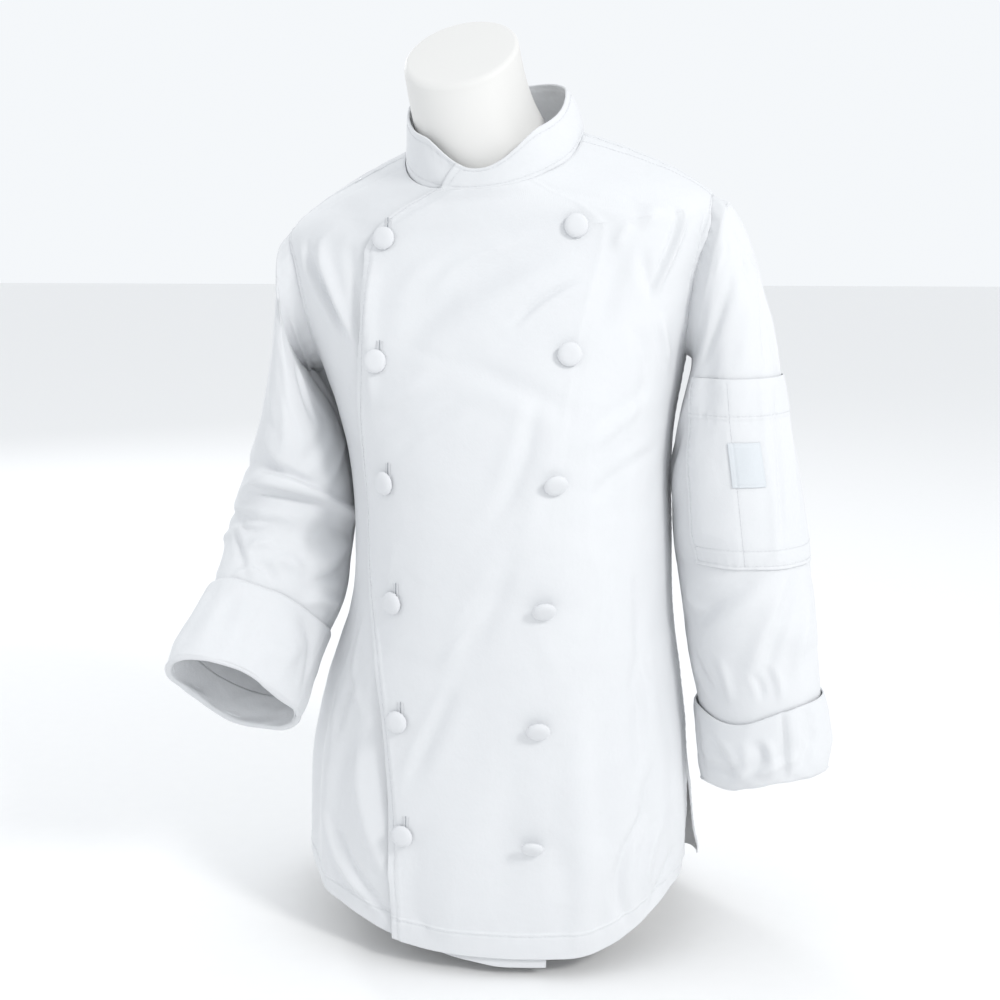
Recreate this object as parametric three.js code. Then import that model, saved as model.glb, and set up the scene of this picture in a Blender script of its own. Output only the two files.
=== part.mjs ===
// Double-breasted chef jacket with a band collar, worn on a limbless dress form.
// Millimetres, +Z up, the wearer's front faces -Y and the wearer's left is +X.
// The origin is the middle of the form's flat base, where the whole thing stands.
import * as THREE from 'three';
import { mergeVertices } from 'three/addons/utils/BufferGeometryUtils.js';

const DEGREE = Math.PI / 180;

// Driving dimensions of the cloth
const CLOTH = 1.6; // wall of a single panel, two layers at its hems
const FOLDED_CLOTH = 2.4; // wall of the collar band and the turned-up cuffs
const SEAM_GAP = 0.3; // gap that pieces keep where they meet
const LAP_DROP = CLOTH + 1.5; // how far the under front sinks below the over front
const LAP_NECK_DROP = CLOTH + 0.9; // and near the neck, where the form is close
const LAP_SLOPE = { from: 70, to: 24 }; // it sinks over this stretch beside the over front's edge
const SUPERELLIPSE = 2.3; // squareness of the body's sections
const SHOULDER_TILT = 0.06 / 600; // the left shoulder stands higher: rise per mm up and per mm across

// Horizontal sections of the jacket's body, from the hem to the neck seam.
// halfWidth is along X; front and back are depths. Both start at the middle, middleX and middleY.
// frontTilt and backTilt lift the section's height with Y, so that the neckline dips at the front.
const BODY_SECTIONS = [
  { z: 8, middleX: 0, halfWidth: 172, front: 140, back: 136, middleY: 0, frontTilt: 0, backTilt: 0 },
  { z: 95, middleX: 0, halfWidth: 172, front: 140, back: 134, middleY: 0, frontTilt: 0, backTilt: 0 },
  { z: 165, middleX: 1, halfWidth: 169, front: 140, back: 129, middleY: 0, frontTilt: 0, backTilt: 0 },
  { z: 228, middleX: 5, halfWidth: 158, front: 141, back: 122, middleY: 0, frontTilt: 0, backTilt: 0 },
  { z: 290, middleX: 11, halfWidth: 144, front: 143, back: 116, middleY: 0, frontTilt: 0, backTilt: 0 },
  { z: 350, middleX: 13, halfWidth: 140, front: 144, back: 114, middleY: 0, frontTilt: 0, backTilt: 0 },
  { z: 430, middleX: 10, halfWidth: 142, front: 139, back: 117, middleY: 0, frontTilt: 0, backTilt: 0 },
  { z: 505, middleX: 5, halfWidth: 158, front: 127, back: 121, middleY: 0, frontTilt: 0, backTilt: 0 },
  { z: 560, middleX: 1, halfWidth: 177, front: 109, back: 118, middleY: 0, frontTilt: 0, backTilt: 0 },
  { z: 602, middleX: 0, halfWidth: 187, front: 95, back: 110, middleY: 0, frontTilt: 0.1, backTilt: 0.02 },
  { z: 632, middleX: 0, halfWidth: 183, front: 87, back: 99, middleY: -2, frontTilt: 0.24, backTilt: 0.08 },
  { z: 652, middleX: 0, halfWidth: 157, front: 81, back: 90, middleY: -7, frontTilt: 0.34, backTilt: 0.2 },
  { z: 667, middleX: 0, halfWidth: 127, front: 75, back: 81, middleY: -12, frontTilt: 0.45, backTilt: 0.25 },
  { z: 679, middleX: 0, halfWidth: 99, front: 69, back: 73, middleY: -17, frontTilt: 0.56, backTilt: 0.25 },
  { z: 688, middleX: 0, halfWidth: 75, front: 65, back: 65, middleY: -22, frontTilt: 0.61, backTilt: 0.23 },
];
const NECK_LEVEL = BODY_SECTIONS.length - 1;

// The hem rises at each side vent
const HEM_RISE = 48;
const HEM_RISE_ANGLE = 66 * DEGREE;
const UNDER_HEM_RISE_ANGLE = 92 * DEGREE; // the under front's hem curves up sooner
const VENT_TOP_LEVEL = 1.9;
const VENT_SPREAD = 3.5 * DEGREE;
const VENT_FLARE = 11; // the back's hem stands out at the vents, over this angle
const VENT_FLARE_ANGLE = 34 * DEGREE;
const OVER_HEM_LIFT = 9; // the over front's hem hangs this much higher than the under front's

// Armholes, as ovals on the body's surface round each side; the bent right arm draws its own forward
const ARMHOLE = { lowLevel: 7.0, topLevel: 10.08 };
const ARMHOLE_REACH = {
  leftFront: 21 * DEGREE,
  leftBack: 21 * DEGREE,
  rightFront: 29 * DEGREE,
  rightBack: 17 * DEGREE,
};

// The over front's free edge, from the hem up to its corner, then along the slanted top edge
const OVER_EDGE_HEM_X = 66;
const OVER_EDGE_CORNER_X = 97;
const OVER_EDGE_WAIST = { out: 12, level: 5.8, reach: 4 }; // the edge turns further round at the waist
const OVER_CORNER_LEVEL = 9.55;
const COLLAR_END_X = 34; // the collar's end passes the centre front by this much
const CORNER_ROUNDING = 0.16;
const TOP_EDGE_CURVE = 1.35;

// Collar band: it stands this far above the neck seam
const COLLAR_SEAT = 0.5;
const COLLAR = { sideHeight: 37, frontHeight: 15, leanIn: 0.5, leftLeanIn: 20, lap: 3.6, endSlant: 13 };
const COLLAR_RISE_TURN = 40; // degrees from the centre front over which it rises to its full height

// Soft folds of the body: where they run round and up it, how wide, and how far they stand out
const BODY_FOLDS = [
  { angle: -152, level: 2.0, width: 9, reach: 2.6, depth: -6 },
  { angle: -138, level: 1.2, width: 8, reach: 2.4, depth: 5 },
  { angle: -60, level: 1.4, width: 10, reach: 2.6, depth: 4 },
  { angle: -34, level: 2.2, width: 9, reach: 2.8, depth: -5 },
  { angle: -14, level: 1.2, width: 8, reach: 2.2, depth: 4 },
  { angle: -142, level: 5.6, width: 14, reach: 1.6, depth: -4 },
  { angle: -46, level: 5.4, width: 11, reach: 1.8, depth: -4 },
  { angle: 30, level: 1.6, width: 9, reach: 2.8, depth: 6 },
  { angle: 58, level: 2.4, width: 10, reach: 3.2, depth: -6 },
  { angle: 88, level: 1.5, width: 11, reach: 3.0, depth: 5 },
  { angle: 120, level: 2.3, width: 10, reach: 3.2, depth: -6 },
  { angle: 148, level: 1.5, width: 9, reach: 2.6, depth: 5 },
];

// Rings of the sleeves. x is taken away from the body, so one column serves either side.
// lean turns a ring from upright (0) to level (90), swing turns it forward at a bent elbow.
// half is the half-width from the inner to the outer side, depth the half-width front to back.
const LEFT_SLEEVE_RINGS = [
  { x: 182, y: 0, z: 565, lean: 12, swing: 0, half: 65, depth: 58 },
  { x: 188, y: 0, z: 551, lean: 19, swing: 0, half: 61, depth: 60 },
  { x: 193, y: -2, z: 526, lean: 29, swing: 0, half: 57, depth: 61 },
  { x: 197, y: -5, z: 491, lean: 41, swing: 0, half: 54, depth: 61 },
  { x: 201, y: -8, z: 446, lean: 55, swing: 0, half: 53, depth: 60 },
  { x: 207, y: -8, z: 401, lean: 68, swing: 0, half: 52, depth: 59 },
  { x: 214, y: -8, z: 343, lean: 82, swing: 2, half: 55, depth: 58 },
  { x: 222, y: -8, z: 290, lean: 88, swing: 4, half: 56, depth: 57 },
  { x: 228, y: -9, z: 245, lean: 88, swing: 6, half: 55, depth: 56 },
  { x: 234, y: -12, z: 207, lean: 86, swing: 7, half: 52, depth: 54 },
  { x: 240, y: -17, z: 146, lean: 80, swing: 9, half: 50, depth: 52 },
];
const RIGHT_SLEEVE_RINGS = [
  { x: 179, y: -4, z: 563, lean: 10, swing: 0, half: 61, depth: 58 },
  { x: 173, y: -12, z: 545, lean: 15, swing: 0, half: 57, depth: 60 },
  { x: 167, y: -22, z: 518, lean: 24, swing: 0, half: 53, depth: 61 },
  { x: 164, y: -32, z: 485, lean: 36, swing: -2, half: 48, depth: 62 },
  { x: 165, y: -38, z: 450, lean: 50, swing: 0, half: 45, depth: 62 },
  { x: 169, y: -39, z: 413, lean: 66, swing: 6, half: 47, depth: 61 },
  { x: 176, y: -38, z: 378, lean: 76, swing: 18, half: 51, depth: 60 },
  { x: 181, y: -45, z: 348, lean: 76, swing: 31, half: 53, depth: 58 },
  { x: 182, y: -62, z: 318, lean: 71, swing: 42, half: 53, depth: 55 },
  { x: 189, y: -87, z: 287, lean: 64, swing: 46, half: 50, depth: 52 },
  { x: 196, y: -111, z: 261, lean: 60, swing: 47, half: 49, depth: 52 },
  { x: 201, y: -136, z: 235, lean: 58, swing: 47, half: 52, depth: 54 },
];

// Folds across the sleeves. around is 0 at the outer side, 90 at the front and 180 inside.
const LEFT_SLEEVE_FOLDS = [
  { around: 60, ring: 2.6, width: 34, reach: 1.4, depth: 3.5 },
  { around: 110, ring: 4.0, width: 26, reach: 1.7, depth: -3.5 },
  { around: -70, ring: 3.6, width: 30, reach: 1.6, depth: -4 },
  { around: -130, ring: 6.0, width: 40, reach: 0.7, depth: -4 },
  { around: 130, ring: 7.0, width: 44, reach: 0.5, depth: -4 },
  { around: 40, ring: 8.4, width: 40, reach: 0.45, depth: 3 },
];
const RIGHT_SLEEVE_FOLDS = [
  { around: 60, ring: 2.2, width: 30, reach: 1.3, depth: -4 },
  { around: 100, ring: 3.4, width: 26, reach: 1.2, depth: 4 },
  { around: 90, ring: 5.9, width: 70, reach: 0.4, depth: -6 },
  { around: 70, ring: 6.9, width: 60, reach: 0.4, depth: 4 },
  { around: 60, ring: 7.9, width: 50, reach: 0.4, depth: -4 },
  { around: -100, ring: 5.0, width: 60, reach: 0.8, depth: 4 },
  { around: -60, ring: 3.6, width: 30, reach: 1.5, depth: -4 },
];

const SLEEVE_COLUMNS = 24;
const FRONT_COLUMNS = 18;
const BACK_COLUMNS = 22;

// Turned-up cuffs: how far up the sleeve they reach and how far they stand off it
const CUFF = { rows: 6, inset: 0.3, bulge: 4, flare: 2.2 };
const LEFT_CUFF_START = 9.75;
const RIGHT_CUFF_START = 9.85;

// What is sewn on a sleeve lies this far off it, so that the flat facets stay clear
const PATCH_LIFT = 0.9;

// Pocket with a bare woven label on the left upper sleeve
const POCKET = { fromAround: -15, toAround: 135, topZ: 497, bottomZ: 341, thickness: 1.2 };
const LABEL = { fromAround: 60, toAround: 94, topZ: 447, bottomZ: 410, thickness: 0.8 };

// Cloth-covered buttons
const BUTTON = { radius: 9.6, height: 6.4, rim: 1.7, facets: 12, steps: 4, settle: 0.5 };
const BUTTON_ROWS = [
  { z: 614, x: 79 },
  { z: 515, x: 79 },
  { z: 416, x: 70 },
  { z: 317, x: 63 },
  { z: 217, x: 59 },
  { z: 118, x: 55 },
];

// Limbless dress form. ease is how far it stays inside the jacket, by level of the body.
const FORM_EASE = [
  { level: 0, ease: 34 },
  { level: 2, ease: 26 },
  { level: 4, ease: 24 },
  { level: 6, ease: 20 },
  { level: 8, ease: 16 },
  { level: 10, ease: 12 },
  { level: 11, ease: 6 },
  { level: 12.4, ease: 0.6 },
  { level: 14, ease: 1.2 },
];
const FORM_CLEARANCE = 0.45;
const FORM_CHEST_EASE = 9; // more room over the chest, where the two fronts lap
const FORM_SLOPE_LEVEL = 9.3; // the form's shoulders begin here
const FORM_NECK_RINGS = [
  { x: -5, y: -20, z: 679, halfX: 60, halfY: 51, tilt: 0.45 },
  { x: -12, y: -24, z: 701, halfX: 53, halfY: 49, tilt: 0.5 },
  { x: -17, y: -28, z: 718, halfX: 50, halfY: 46, tilt: 0.58 },
  { x: -21, y: -33, z: 737, halfX: 48.5, halfY: 42, tilt: 0.7 },
  { x: -24, y: -38, z: 758, halfX: 48, halfY: 37.5, tilt: 0.84 },
  { x: -24.6, y: -39.4, z: 762.6, halfX: 45.5, halfY: 35, tilt: 0.84 },
  { x: -24.8, y: -40, z: 764.4, halfX: 38, halfY: 29, tilt: 0.84 },
];

const WHITE_COTTON = { color: 0xf1f4f8, roughness: 0.9, metalness: 0 };
const LABEL_WEAVE = { color: 0xdde4ec, roughness: 0.75, metalness: 0 };
const FORM_PLASTIC = { color: 0xf4f3f0, roughness: 0.45, metalness: 0 };

// Value of one column of a table at a fractional row, by a smooth cubic through the rows
function column(rows, name, at) {
  const last = rows.length - 1;
  const place = THREE.MathUtils.clamp(at, 0, last);
  const i = Math.min(Math.floor(place), last - 1);
  const t = place - i;
  const p0 = rows[Math.max(i - 1, 0)][name];
  const p1 = rows[i][name];
  const p2 = rows[i + 1][name];
  const p3 = rows[Math.min(i + 2, last)][name];
  const m1 = (p2 - p0) / 2;
  const m2 = (p3 - p1) / 2;
  const t2 = t * t;
  const t3 = t2 * t;
  return (2 * t3 - 3 * t2 + 1) * p1 + (t3 - 2 * t2 + t) * m1 + (3 * t2 - 2 * t3) * p2 + (t3 - t2) * m2;
}

const smooth = (from, to, value) => THREE.MathUtils.smoothstep(value, from, to);
const mix = THREE.MathUtils.lerp;
const power = (value) => Math.sign(value) * Math.abs(value) ** (2 / SUPERELLIPSE);

// Height of a soft bump that falls from 1 to 0 over its width
function bump(distance, width) {
  const r = Math.min(Math.abs(distance) / width, 1);
  return 0.5 + 0.5 * Math.cos(Math.PI * r);
}

// Shortest turn from one angle to another, in degrees
function turnBetween(a, b) {
  return THREE.MathUtils.euclideanModulo(a - b + 180, 360) - 180;
}

function tilted(point) {
  point.z *= 1 + SHOULDER_TILT * point.x;
  return point;
}

// Point of the jacket's body: angle 0 is the wearer's left, -90 degrees the centre front
function bodyPoint(angle, level) {
  const middleY = column(BODY_SECTIONS, 'middleY', level);
  const front = Math.sin(angle) < 0;
  const depth = column(BODY_SECTIONS, front ? 'front' : 'back', level);
  const tilt = column(BODY_SECTIONS, front ? 'frontTilt' : 'backTilt', level);
  let out = 0;
  for (const fold of BODY_FOLDS) {
    const round = bump(turnBetween(angle / DEGREE, fold.angle), fold.width);
    out += fold.depth * round * bump(level - fold.level, fold.reach);
  }
  const across = (column(BODY_SECTIONS, 'halfWidth', level) + out) * power(Math.cos(angle));
  const x = column(BODY_SECTIONS, 'middleX', level) + across;
  const y = (depth + out) * power(Math.sin(angle));
  const riseAngle = front && Math.cos(angle) < 0 ? UNDER_HEM_RISE_ANGLE : HEM_RISE_ANGLE;
  const hem = bump(level, 1) * HEM_RISE * bump(Math.asin(Math.sin(angle)), riseAngle);
  return tilted(new THREE.Vector3(x, middleY + y, column(BODY_SECTIONS, 'z', level) + tilt * y + hem));
}

// Outward direction of a surface given as a function of two numbers
function outward(surface, a, b, stepA, stepB) {
  const alongA = surface(a + stepA, b).sub(surface(a - stepA, b));
  const alongB = surface(a, b + stepB).sub(surface(a, b - stepB));
  return alongA.cross(alongB).normalize();
}

function bodyNormal(angle, level) {
  const safeLevel = THREE.MathUtils.clamp(level, 0.02, NECK_LEVEL - 0.02);
  return outward((a, b) => bodyPoint(a, b), angle, safeLevel, 0.02, 0.02);
}

// Front angle at which the body's section has this x
function frontAngle(x, level) {
  const across = x - column(BODY_SECTIONS, 'middleX', level);
  const ratio = THREE.MathUtils.clamp(Math.abs(across) / column(BODY_SECTIONS, 'halfWidth', level), 0, 1);
  const turned = Math.asin(ratio ** (SUPERELLIPSE / 2));
  return -90 * DEGREE + Math.sign(across) * turned;
}

// Body level whose front lies at this height
function frontLevel(z, angle = -90 * DEGREE) {
  let low = 0;
  let high = NECK_LEVEL;
  for (let i = 0; i < 40; i += 1) {
    const middle = (low + high) / 2;
    if (bodyPoint(angle, middle).z < z) low = middle;
    else high = middle;
  }
  return low;
}

// How far an armhole's oval comes round from the side at this level, of its widest reach
function armholeAngle(level, widest) {
  const middle = (ARMHOLE.lowLevel + ARMHOLE.topLevel) / 2;
  const reach = (ARMHOLE.topLevel - ARMHOLE.lowLevel) / 2;
  const t = (level - middle) / reach;
  return Math.abs(t) < 1 ? widest * Math.sqrt(1 - t * t) : 0;
}

// Angle between the side line and a panel's side edge: seam gap, vent or armhole
function sideEdge(level, widest) {
  const radius = column(BODY_SECTIONS, 'halfWidth', level);
  const seam = SEAM_GAP / radius;
  const vent = VENT_SPREAD * (1 - smooth(0, VENT_TOP_LEVEL, level));
  return seam + vent + armholeAngle(level, widest);
}

// Levels of a panel's rows, denser round the armhole and on the shoulder
function panelLevels() {
  const levels = [];
  for (let i = 0; i < 10; i += 1) levels.push((ARMHOLE.lowLevel * i) / 10);
  const arm = 12;
  for (let i = 0; i <= arm; i += 1) {
    const t = (1 - Math.cos((Math.PI * i) / arm)) / 2;
    levels.push(mix(ARMHOLE.lowLevel, ARMHOLE.topLevel, t));
  }
  const shoulder = 6;
  for (let i = 1; i <= shoulder; i += 1) levels.push(mix(ARMHOLE.topLevel, NECK_LEVEL, i / shoulder));
  return levels;
}

// Closed solid from a grid of surface points: the wall goes inward from them.
// A closed grid is a tube; an open one gets a rim on all four sides.
function clothWall(grid, normals, thickness, closed) {
  const rows = grid.length;
  const columns = grid[0].length;
  const vertices = [];
  const push = (point) => vertices.push(point.x, point.y, point.z);
  for (const row of grid) row.forEach(push);
  for (let i = 0; i < rows; i += 1) {
    for (let j = 0; j < columns; j += 1) push(grid[i][j].clone().addScaledVector(normals[i][j], -thickness));
  }
  const inside = rows * columns;
  const id = (i, j) => i * columns + (j % columns);
  const faces = [];
  const quad = (a, b, c, d) => faces.push(a, b, c, a, c, d);
  const spans = closed ? columns : columns - 1;
  for (let i = 0; i < rows - 1; i += 1) {
    for (let j = 0; j < spans; j += 1) {
      const [a, b, c, d] = [id(i, j), id(i, j + 1), id(i + 1, j + 1), id(i + 1, j)];
      quad(a, b, c, d);
      quad(inside + d, inside + c, inside + b, inside + a);
    }
  }
  for (let j = 0; j < spans; j += 1) {
    quad(inside + id(0, j), inside + id(0, j + 1), id(0, j + 1), id(0, j));
    quad(id(rows - 1, j), id(rows - 1, j + 1), inside + id(rows - 1, j + 1), inside + id(rows - 1, j));
  }
  if (!closed) {
    for (let i = 0; i < rows - 1; i += 1) {
      quad(inside + id(i + 1, 0), inside + id(i, 0), id(i, 0), id(i + 1, 0));
      const end = columns - 1;
      quad(id(i + 1, end), id(i, end), inside + id(i, end), inside + id(i + 1, end));
    }
  }
  return solid(vertices, faces);
}

function solid(vertices, faces) {
  const geometry = new THREE.BufferGeometry();
  geometry.setAttribute('position', new THREE.Float32BufferAttribute(vertices, 3));
  geometry.setIndex(faces);
  return mergeVertices(geometry, 1e-4);
}

// Panel of the body between two edges, each given as a function of the level
function bodyPanel(fromEdge, toEdge, columns, drop = () => 0, hemLift = 0) {
  const grid = [];
  const normals = [];
  for (const level of panelLevels()) {
    const from = fromEdge(level);
    const to = toEdge(level);
    const row = [];
    const rowNormals = [];
    for (let j = 0; j <= columns; j += 1) {
      const angle = mix(from, to, j / columns);
      const normal = bodyNormal(angle, level);
      const point = bodyPoint(angle, level).addScaledVector(normal, -drop(angle, level));
      point.z += hemLift * bump(level, 1);
      row.push(point);
      rowNormals.push(normal);
    }
    grid.push(row);
    normals.push(rowNormals);
  }
  return clothWall(grid, normals, CLOTH, false);
}

// Distance of the over front's free edge from the centre front
function overEdgeX(level) {
  const waist = OVER_EDGE_WAIST.out * bump(level - OVER_EDGE_WAIST.level, OVER_EDGE_WAIST.reach);
  const straight = mix(OVER_EDGE_HEM_X, OVER_EDGE_CORNER_X, Math.min(level / OVER_CORNER_LEVEL, 1)) + waist;
  if (level < OVER_CORNER_LEVEL - CORNER_ROUNDING) return straight;
  const start = OVER_CORNER_LEVEL - CORNER_ROUNDING;
  const t = (level - start) / (NECK_LEVEL - start);
  return mix(OVER_EDGE_CORNER_X, COLLAR_END_X, t ** TOP_EDGE_CURVE);
}

// The under front sinks below the over front where the two lap
function lapDrop(angle, level) {
  const point = bodyPoint(angle, level);
  const edge = -overEdgeX(level);
  const drop = mix(LAP_DROP, LAP_NECK_DROP, smooth(NECK_LEVEL - 5, NECK_LEVEL - 2, level));
  return drop * smooth(edge - LAP_SLOPE.from, edge - LAP_SLOPE.to, point.x);
}

// The back's edge stands out at each side vent
function ventFlare(angle, level) {
  const near = bump(Math.asin(Math.sin(angle)), VENT_FLARE_ANGLE);
  return -VENT_FLARE * near * (1 - smooth(0, VENT_TOP_LEVEL, level));
}

function backPanel() {
  const from = (level) => sideEdge(level, ARMHOLE_REACH.leftBack);
  const to = (level) => Math.PI - sideEdge(level, ARMHOLE_REACH.rightBack);
  return bodyPanel(from, to, BACK_COLUMNS, ventFlare);
}

function overFront() {
  const from = (level) => frontAngle(-overEdgeX(level), level);
  return bodyPanel(from, (level) => -sideEdge(level, ARMHOLE_REACH.leftFront), FRONT_COLUMNS, () => 0, OVER_HEM_LIFT);
}

function underFront() {
  const to = (level) => frontAngle(overEdgeX(level), level);
  return bodyPanel((level) => -Math.PI + sideEdge(level, ARMHOLE_REACH.rightFront), to, FRONT_COLUMNS, lapDrop);
}

// Collar band: a strip round the neck seam whose over end laps the under end at the front
function collarPoint(t, up) {
  const endX = COLLAR_END_X - 2 - COLLAR.endSlant * up;
  const underEnd = frontAngle(endX, NECK_LEVEL);
  const overEnd = frontAngle(-endX, NECK_LEVEL);
  const angle = mix(underEnd, overEnd - 2 * Math.PI, t);
  const seam = bodyPoint(angle, NECK_LEVEL);
  const centre = new THREE.Vector3(0, column(BODY_SECTIONS, 'middleY', NECK_LEVEL), seam.z);
  const out = seam.clone().sub(centre).normalize();
  const backness = smooth(-1, 1, Math.sin(angle));
  const rise = smooth(0, COLLAR_RISE_TURN, Math.abs(turnBetween(angle / DEGREE, -90)));
  const height = mix(COLLAR.frontHeight, COLLAR.sideHeight, rise);
  const lap = COLLAR.lap * (1 - smooth(0.18, 0.3, t));
  const lean = COLLAR.leanIn + COLLAR.leftLeanIn * smooth(0, 1, Math.cos(angle));
  const inward = SEAM_GAP + lap + lean * up * up * mix(0.3, 1, backness);
  const point = seam.addScaledVector(out, -inward);
  point.z += height * up + COLLAR_SEAT;
  return point;
}

function collarBand() {
  const grid = [];
  const normals = [];
  const rows = 4;
  const columns = 44;
  for (let i = 0; i <= rows; i += 1) {
    const row = [];
    const rowNormals = [];
    for (let j = 0; j <= columns; j += 1) {
      const t = 1 - j / columns;
      row.push(collarPoint(t, i / rows));
      rowNormals.push(outward((a, b) => collarPoint(1 - a, b), j / columns, i / rows, 0.004, 0.05));
    }
    grid.push(row);
    normals.push(rowNormals);
  }
  return clothWall(grid, normals, FOLDED_CLOTH, false);
}

// Frame of a sleeve's ring: its middle, the way to its outer side and the way to its front
function sleeveRing(rings, side, at) {
  const lean = column(rings, 'lean', at) * DEGREE;
  const swing = column(rings, 'swing', at) * DEGREE;
  const middle = new THREE.Vector3(
    side * column(rings, 'x', at),
    column(rings, 'y', at),
    column(rings, 'z', at),
  );
  const level = Math.sin(lean);
  const outer = new THREE.Vector3(side * level, -Math.cos(lean) * Math.sin(swing), Math.cos(lean) * Math.cos(swing));
  const front = new THREE.Vector3(0, -Math.cos(swing), Math.sin(swing));
  return { middle, outer, front, half: column(rings, 'half', at), depth: column(rings, 'depth', at) };
}

// Point of the armhole's edge that a sleeve's first ring meets
function armholePoint(side, around) {
  const middle = (ARMHOLE.lowLevel + ARMHOLE.topLevel) / 2;
  const reach = (ARMHOLE.topLevel - ARMHOLE.lowLevel) / 2;
  const level = middle + reach * 0.995 * Math.cos(around);
  const front = Math.sin(around) > 0;
  const [left, right] = front
    ? [ARMHOLE_REACH.leftFront, ARMHOLE_REACH.rightFront]
    : [ARMHOLE_REACH.leftBack, ARMHOLE_REACH.rightBack];
  const angle = -(armholeAngle(level, side > 0 ? left : right) - 0.003) * Math.sign(Math.sin(around));
  const turned = side > 0 ? angle : Math.PI - angle;
  return bodyPoint(Math.abs(Math.sin(around)) < 1e-6 ? (side > 0 ? 0 : Math.PI) : turned, level);
}

// Point of a sleeve: around is 0 at its outer side and grows towards the front
function sleevePoint(sleeve, around, at) {
  if (at <= 0) return armholePoint(sleeve.side, around);
  const ring = sleeveRing(sleeve.rings, sleeve.side, Math.max(at - 1, 0));
  let out = 0;
  for (const fold of sleeve.folds) {
    const across = bump(turnBetween(around / DEGREE, fold.around), fold.width);
    out += fold.depth * across * bump(at - fold.ring, fold.reach);
  }
  const point = ring.middle.clone();
  point.addScaledVector(ring.outer, (ring.half + out) * Math.cos(around));
  point.addScaledVector(ring.front, (ring.depth + out) * Math.sin(around));
  tilted(point);
  if (at < 1) point.lerp(armholePoint(sleeve.side, around), 1 - at);
  return point;
}

function sleeveNormal(sleeve, around, at) {
  const last = sleeve.rings.length;
  const place = THREE.MathUtils.clamp(at, 0.05, last - 0.05);
  const normal = outward((a, b) => sleevePoint(sleeve, a, b), around, place, 0.04, 0.04);
  return normal.multiplyScalar(sleeve.side);
}

// Tube of cloth round a sleeve, between two rings and moved out by a function of the place
function sleeveTube(sleeve, places, offset, thickness) {
  const columns = SLEEVE_COLUMNS;
  const grid = [];
  const normals = [];
  for (const at of places) {
    const row = [];
    const rowNormals = [];
    for (let j = 0; j < columns; j += 1) {
      const around = -sleeve.side * ((2 * Math.PI * j) / columns);
      const normal = sleeveNormal(sleeve, around, at);
      row.push(sleevePoint(sleeve, around, at).addScaledVector(normal, offset(at, around)));
      rowNormals.push(normal);
    }
    grid.push(row);
    normals.push(rowNormals);
  }
  grid.reverse();
  normals.reverse();
  return clothWall(grid, normals, thickness, true);
}

function sleeveBody(sleeve) {
  const places = [0, 0.5];
  for (let at = 1; at < sleeve.rings.length; at += 0.5) places.push(at);
  places.push(sleeve.rings.length - 0.04);
  return sleeveTube(sleeve, places, () => 0, CLOTH);
}

function cuff(sleeve) {
  const places = [];
  for (let i = 0; i <= CUFF.rows; i += 1) {
    places.push(mix(sleeve.cuffStart, sleeve.rings.length, i / CUFF.rows));
  }
  const offset = (at, around) => {
    const t = (at - sleeve.cuffStart) / (sleeve.rings.length - sleeve.cuffStart);
    const swell = CUFF.bulge * Math.sin(Math.PI * t) + CUFF.flare * (1 - t);
    const wave = 1 + 0.4 * Math.sin(3 * around + 1.2) * Math.sin(Math.PI * t);
    return SEAM_GAP + CUFF.inset + FOLDED_CLOTH + swell * wave;
  };
  return sleeveTube(sleeve, places, offset, FOLDED_CLOTH);
}

// Place along a sleeve where its point at this turn lies at this height
function placeAtHeight(sleeve, around, z) {
  let high = 1;
  let low = sleeve.rings.length;
  for (let i = 0; i < 40; i += 1) {
    const middle = (low + high) / 2;
    if (sleevePoint(sleeve, around, middle).z > z) high = middle;
    else low = middle;
  }
  return low;
}

// Patch that lies on a sleeve: a rectangle of its points, moved out
function sleevePatch(sleeve, patch, columns, rows, lift) {
  const grid = [];
  const normals = [];
  for (let i = 0; i <= rows; i += 1) {
    const row = [];
    const rowNormals = [];
    for (let j = 0; j <= columns; j += 1) {
      const around = mix(patch.toAround, patch.fromAround, j / columns) * DEGREE;
      const at = placeAtHeight(sleeve, around, mix(patch.bottomZ, patch.topZ, i / rows));
      const normal = sleeveNormal(sleeve, around, at);
      row.push(sleevePoint(sleeve, around, at).addScaledVector(normal, lift + patch.thickness));
      rowNormals.push(normal);
    }
    grid.push(row);
    normals.push(rowNormals);
  }
  return clothWall(grid, normals, patch.thickness, false);
}

// Domed button with a flat back, seated on the over front
function buttonShape() {
  const profile = [new THREE.Vector2(0, 0), new THREE.Vector2(BUTTON.radius * 0.86, 0)];
  const steps = BUTTON.steps;
  for (let i = 0; i <= steps; i += 1) {
    const t = (i / steps) * 90 * DEGREE;
    const radius = BUTTON.radius * Math.cos(t);
    profile.push(new THREE.Vector2(i === steps ? 0 : radius, mix(BUTTON.rim, BUTTON.height, Math.sin(t))));
  }
  const shape = new THREE.LatheGeometry(profile, BUTTON.facets);
  shape.deleteAttribute('normal');
  shape.deleteAttribute('uv');
  return mergeVertices(shape, 1e-4);
}

function placeButton(mesh, x, z) {
  const height = z * (1 + SHOULDER_TILT * x);
  const level = frontLevel(height, frontAngle(x, frontLevel(height)));
  const angle = frontAngle(x, level);
  const normal = bodyNormal(angle, level);
  mesh.quaternion.setFromUnitVectors(new THREE.Vector3(0, 1, 0), normal);
  mesh.position.copy(bodyPoint(angle, level).addScaledVector(normal, BUTTON.settle));
}

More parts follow.
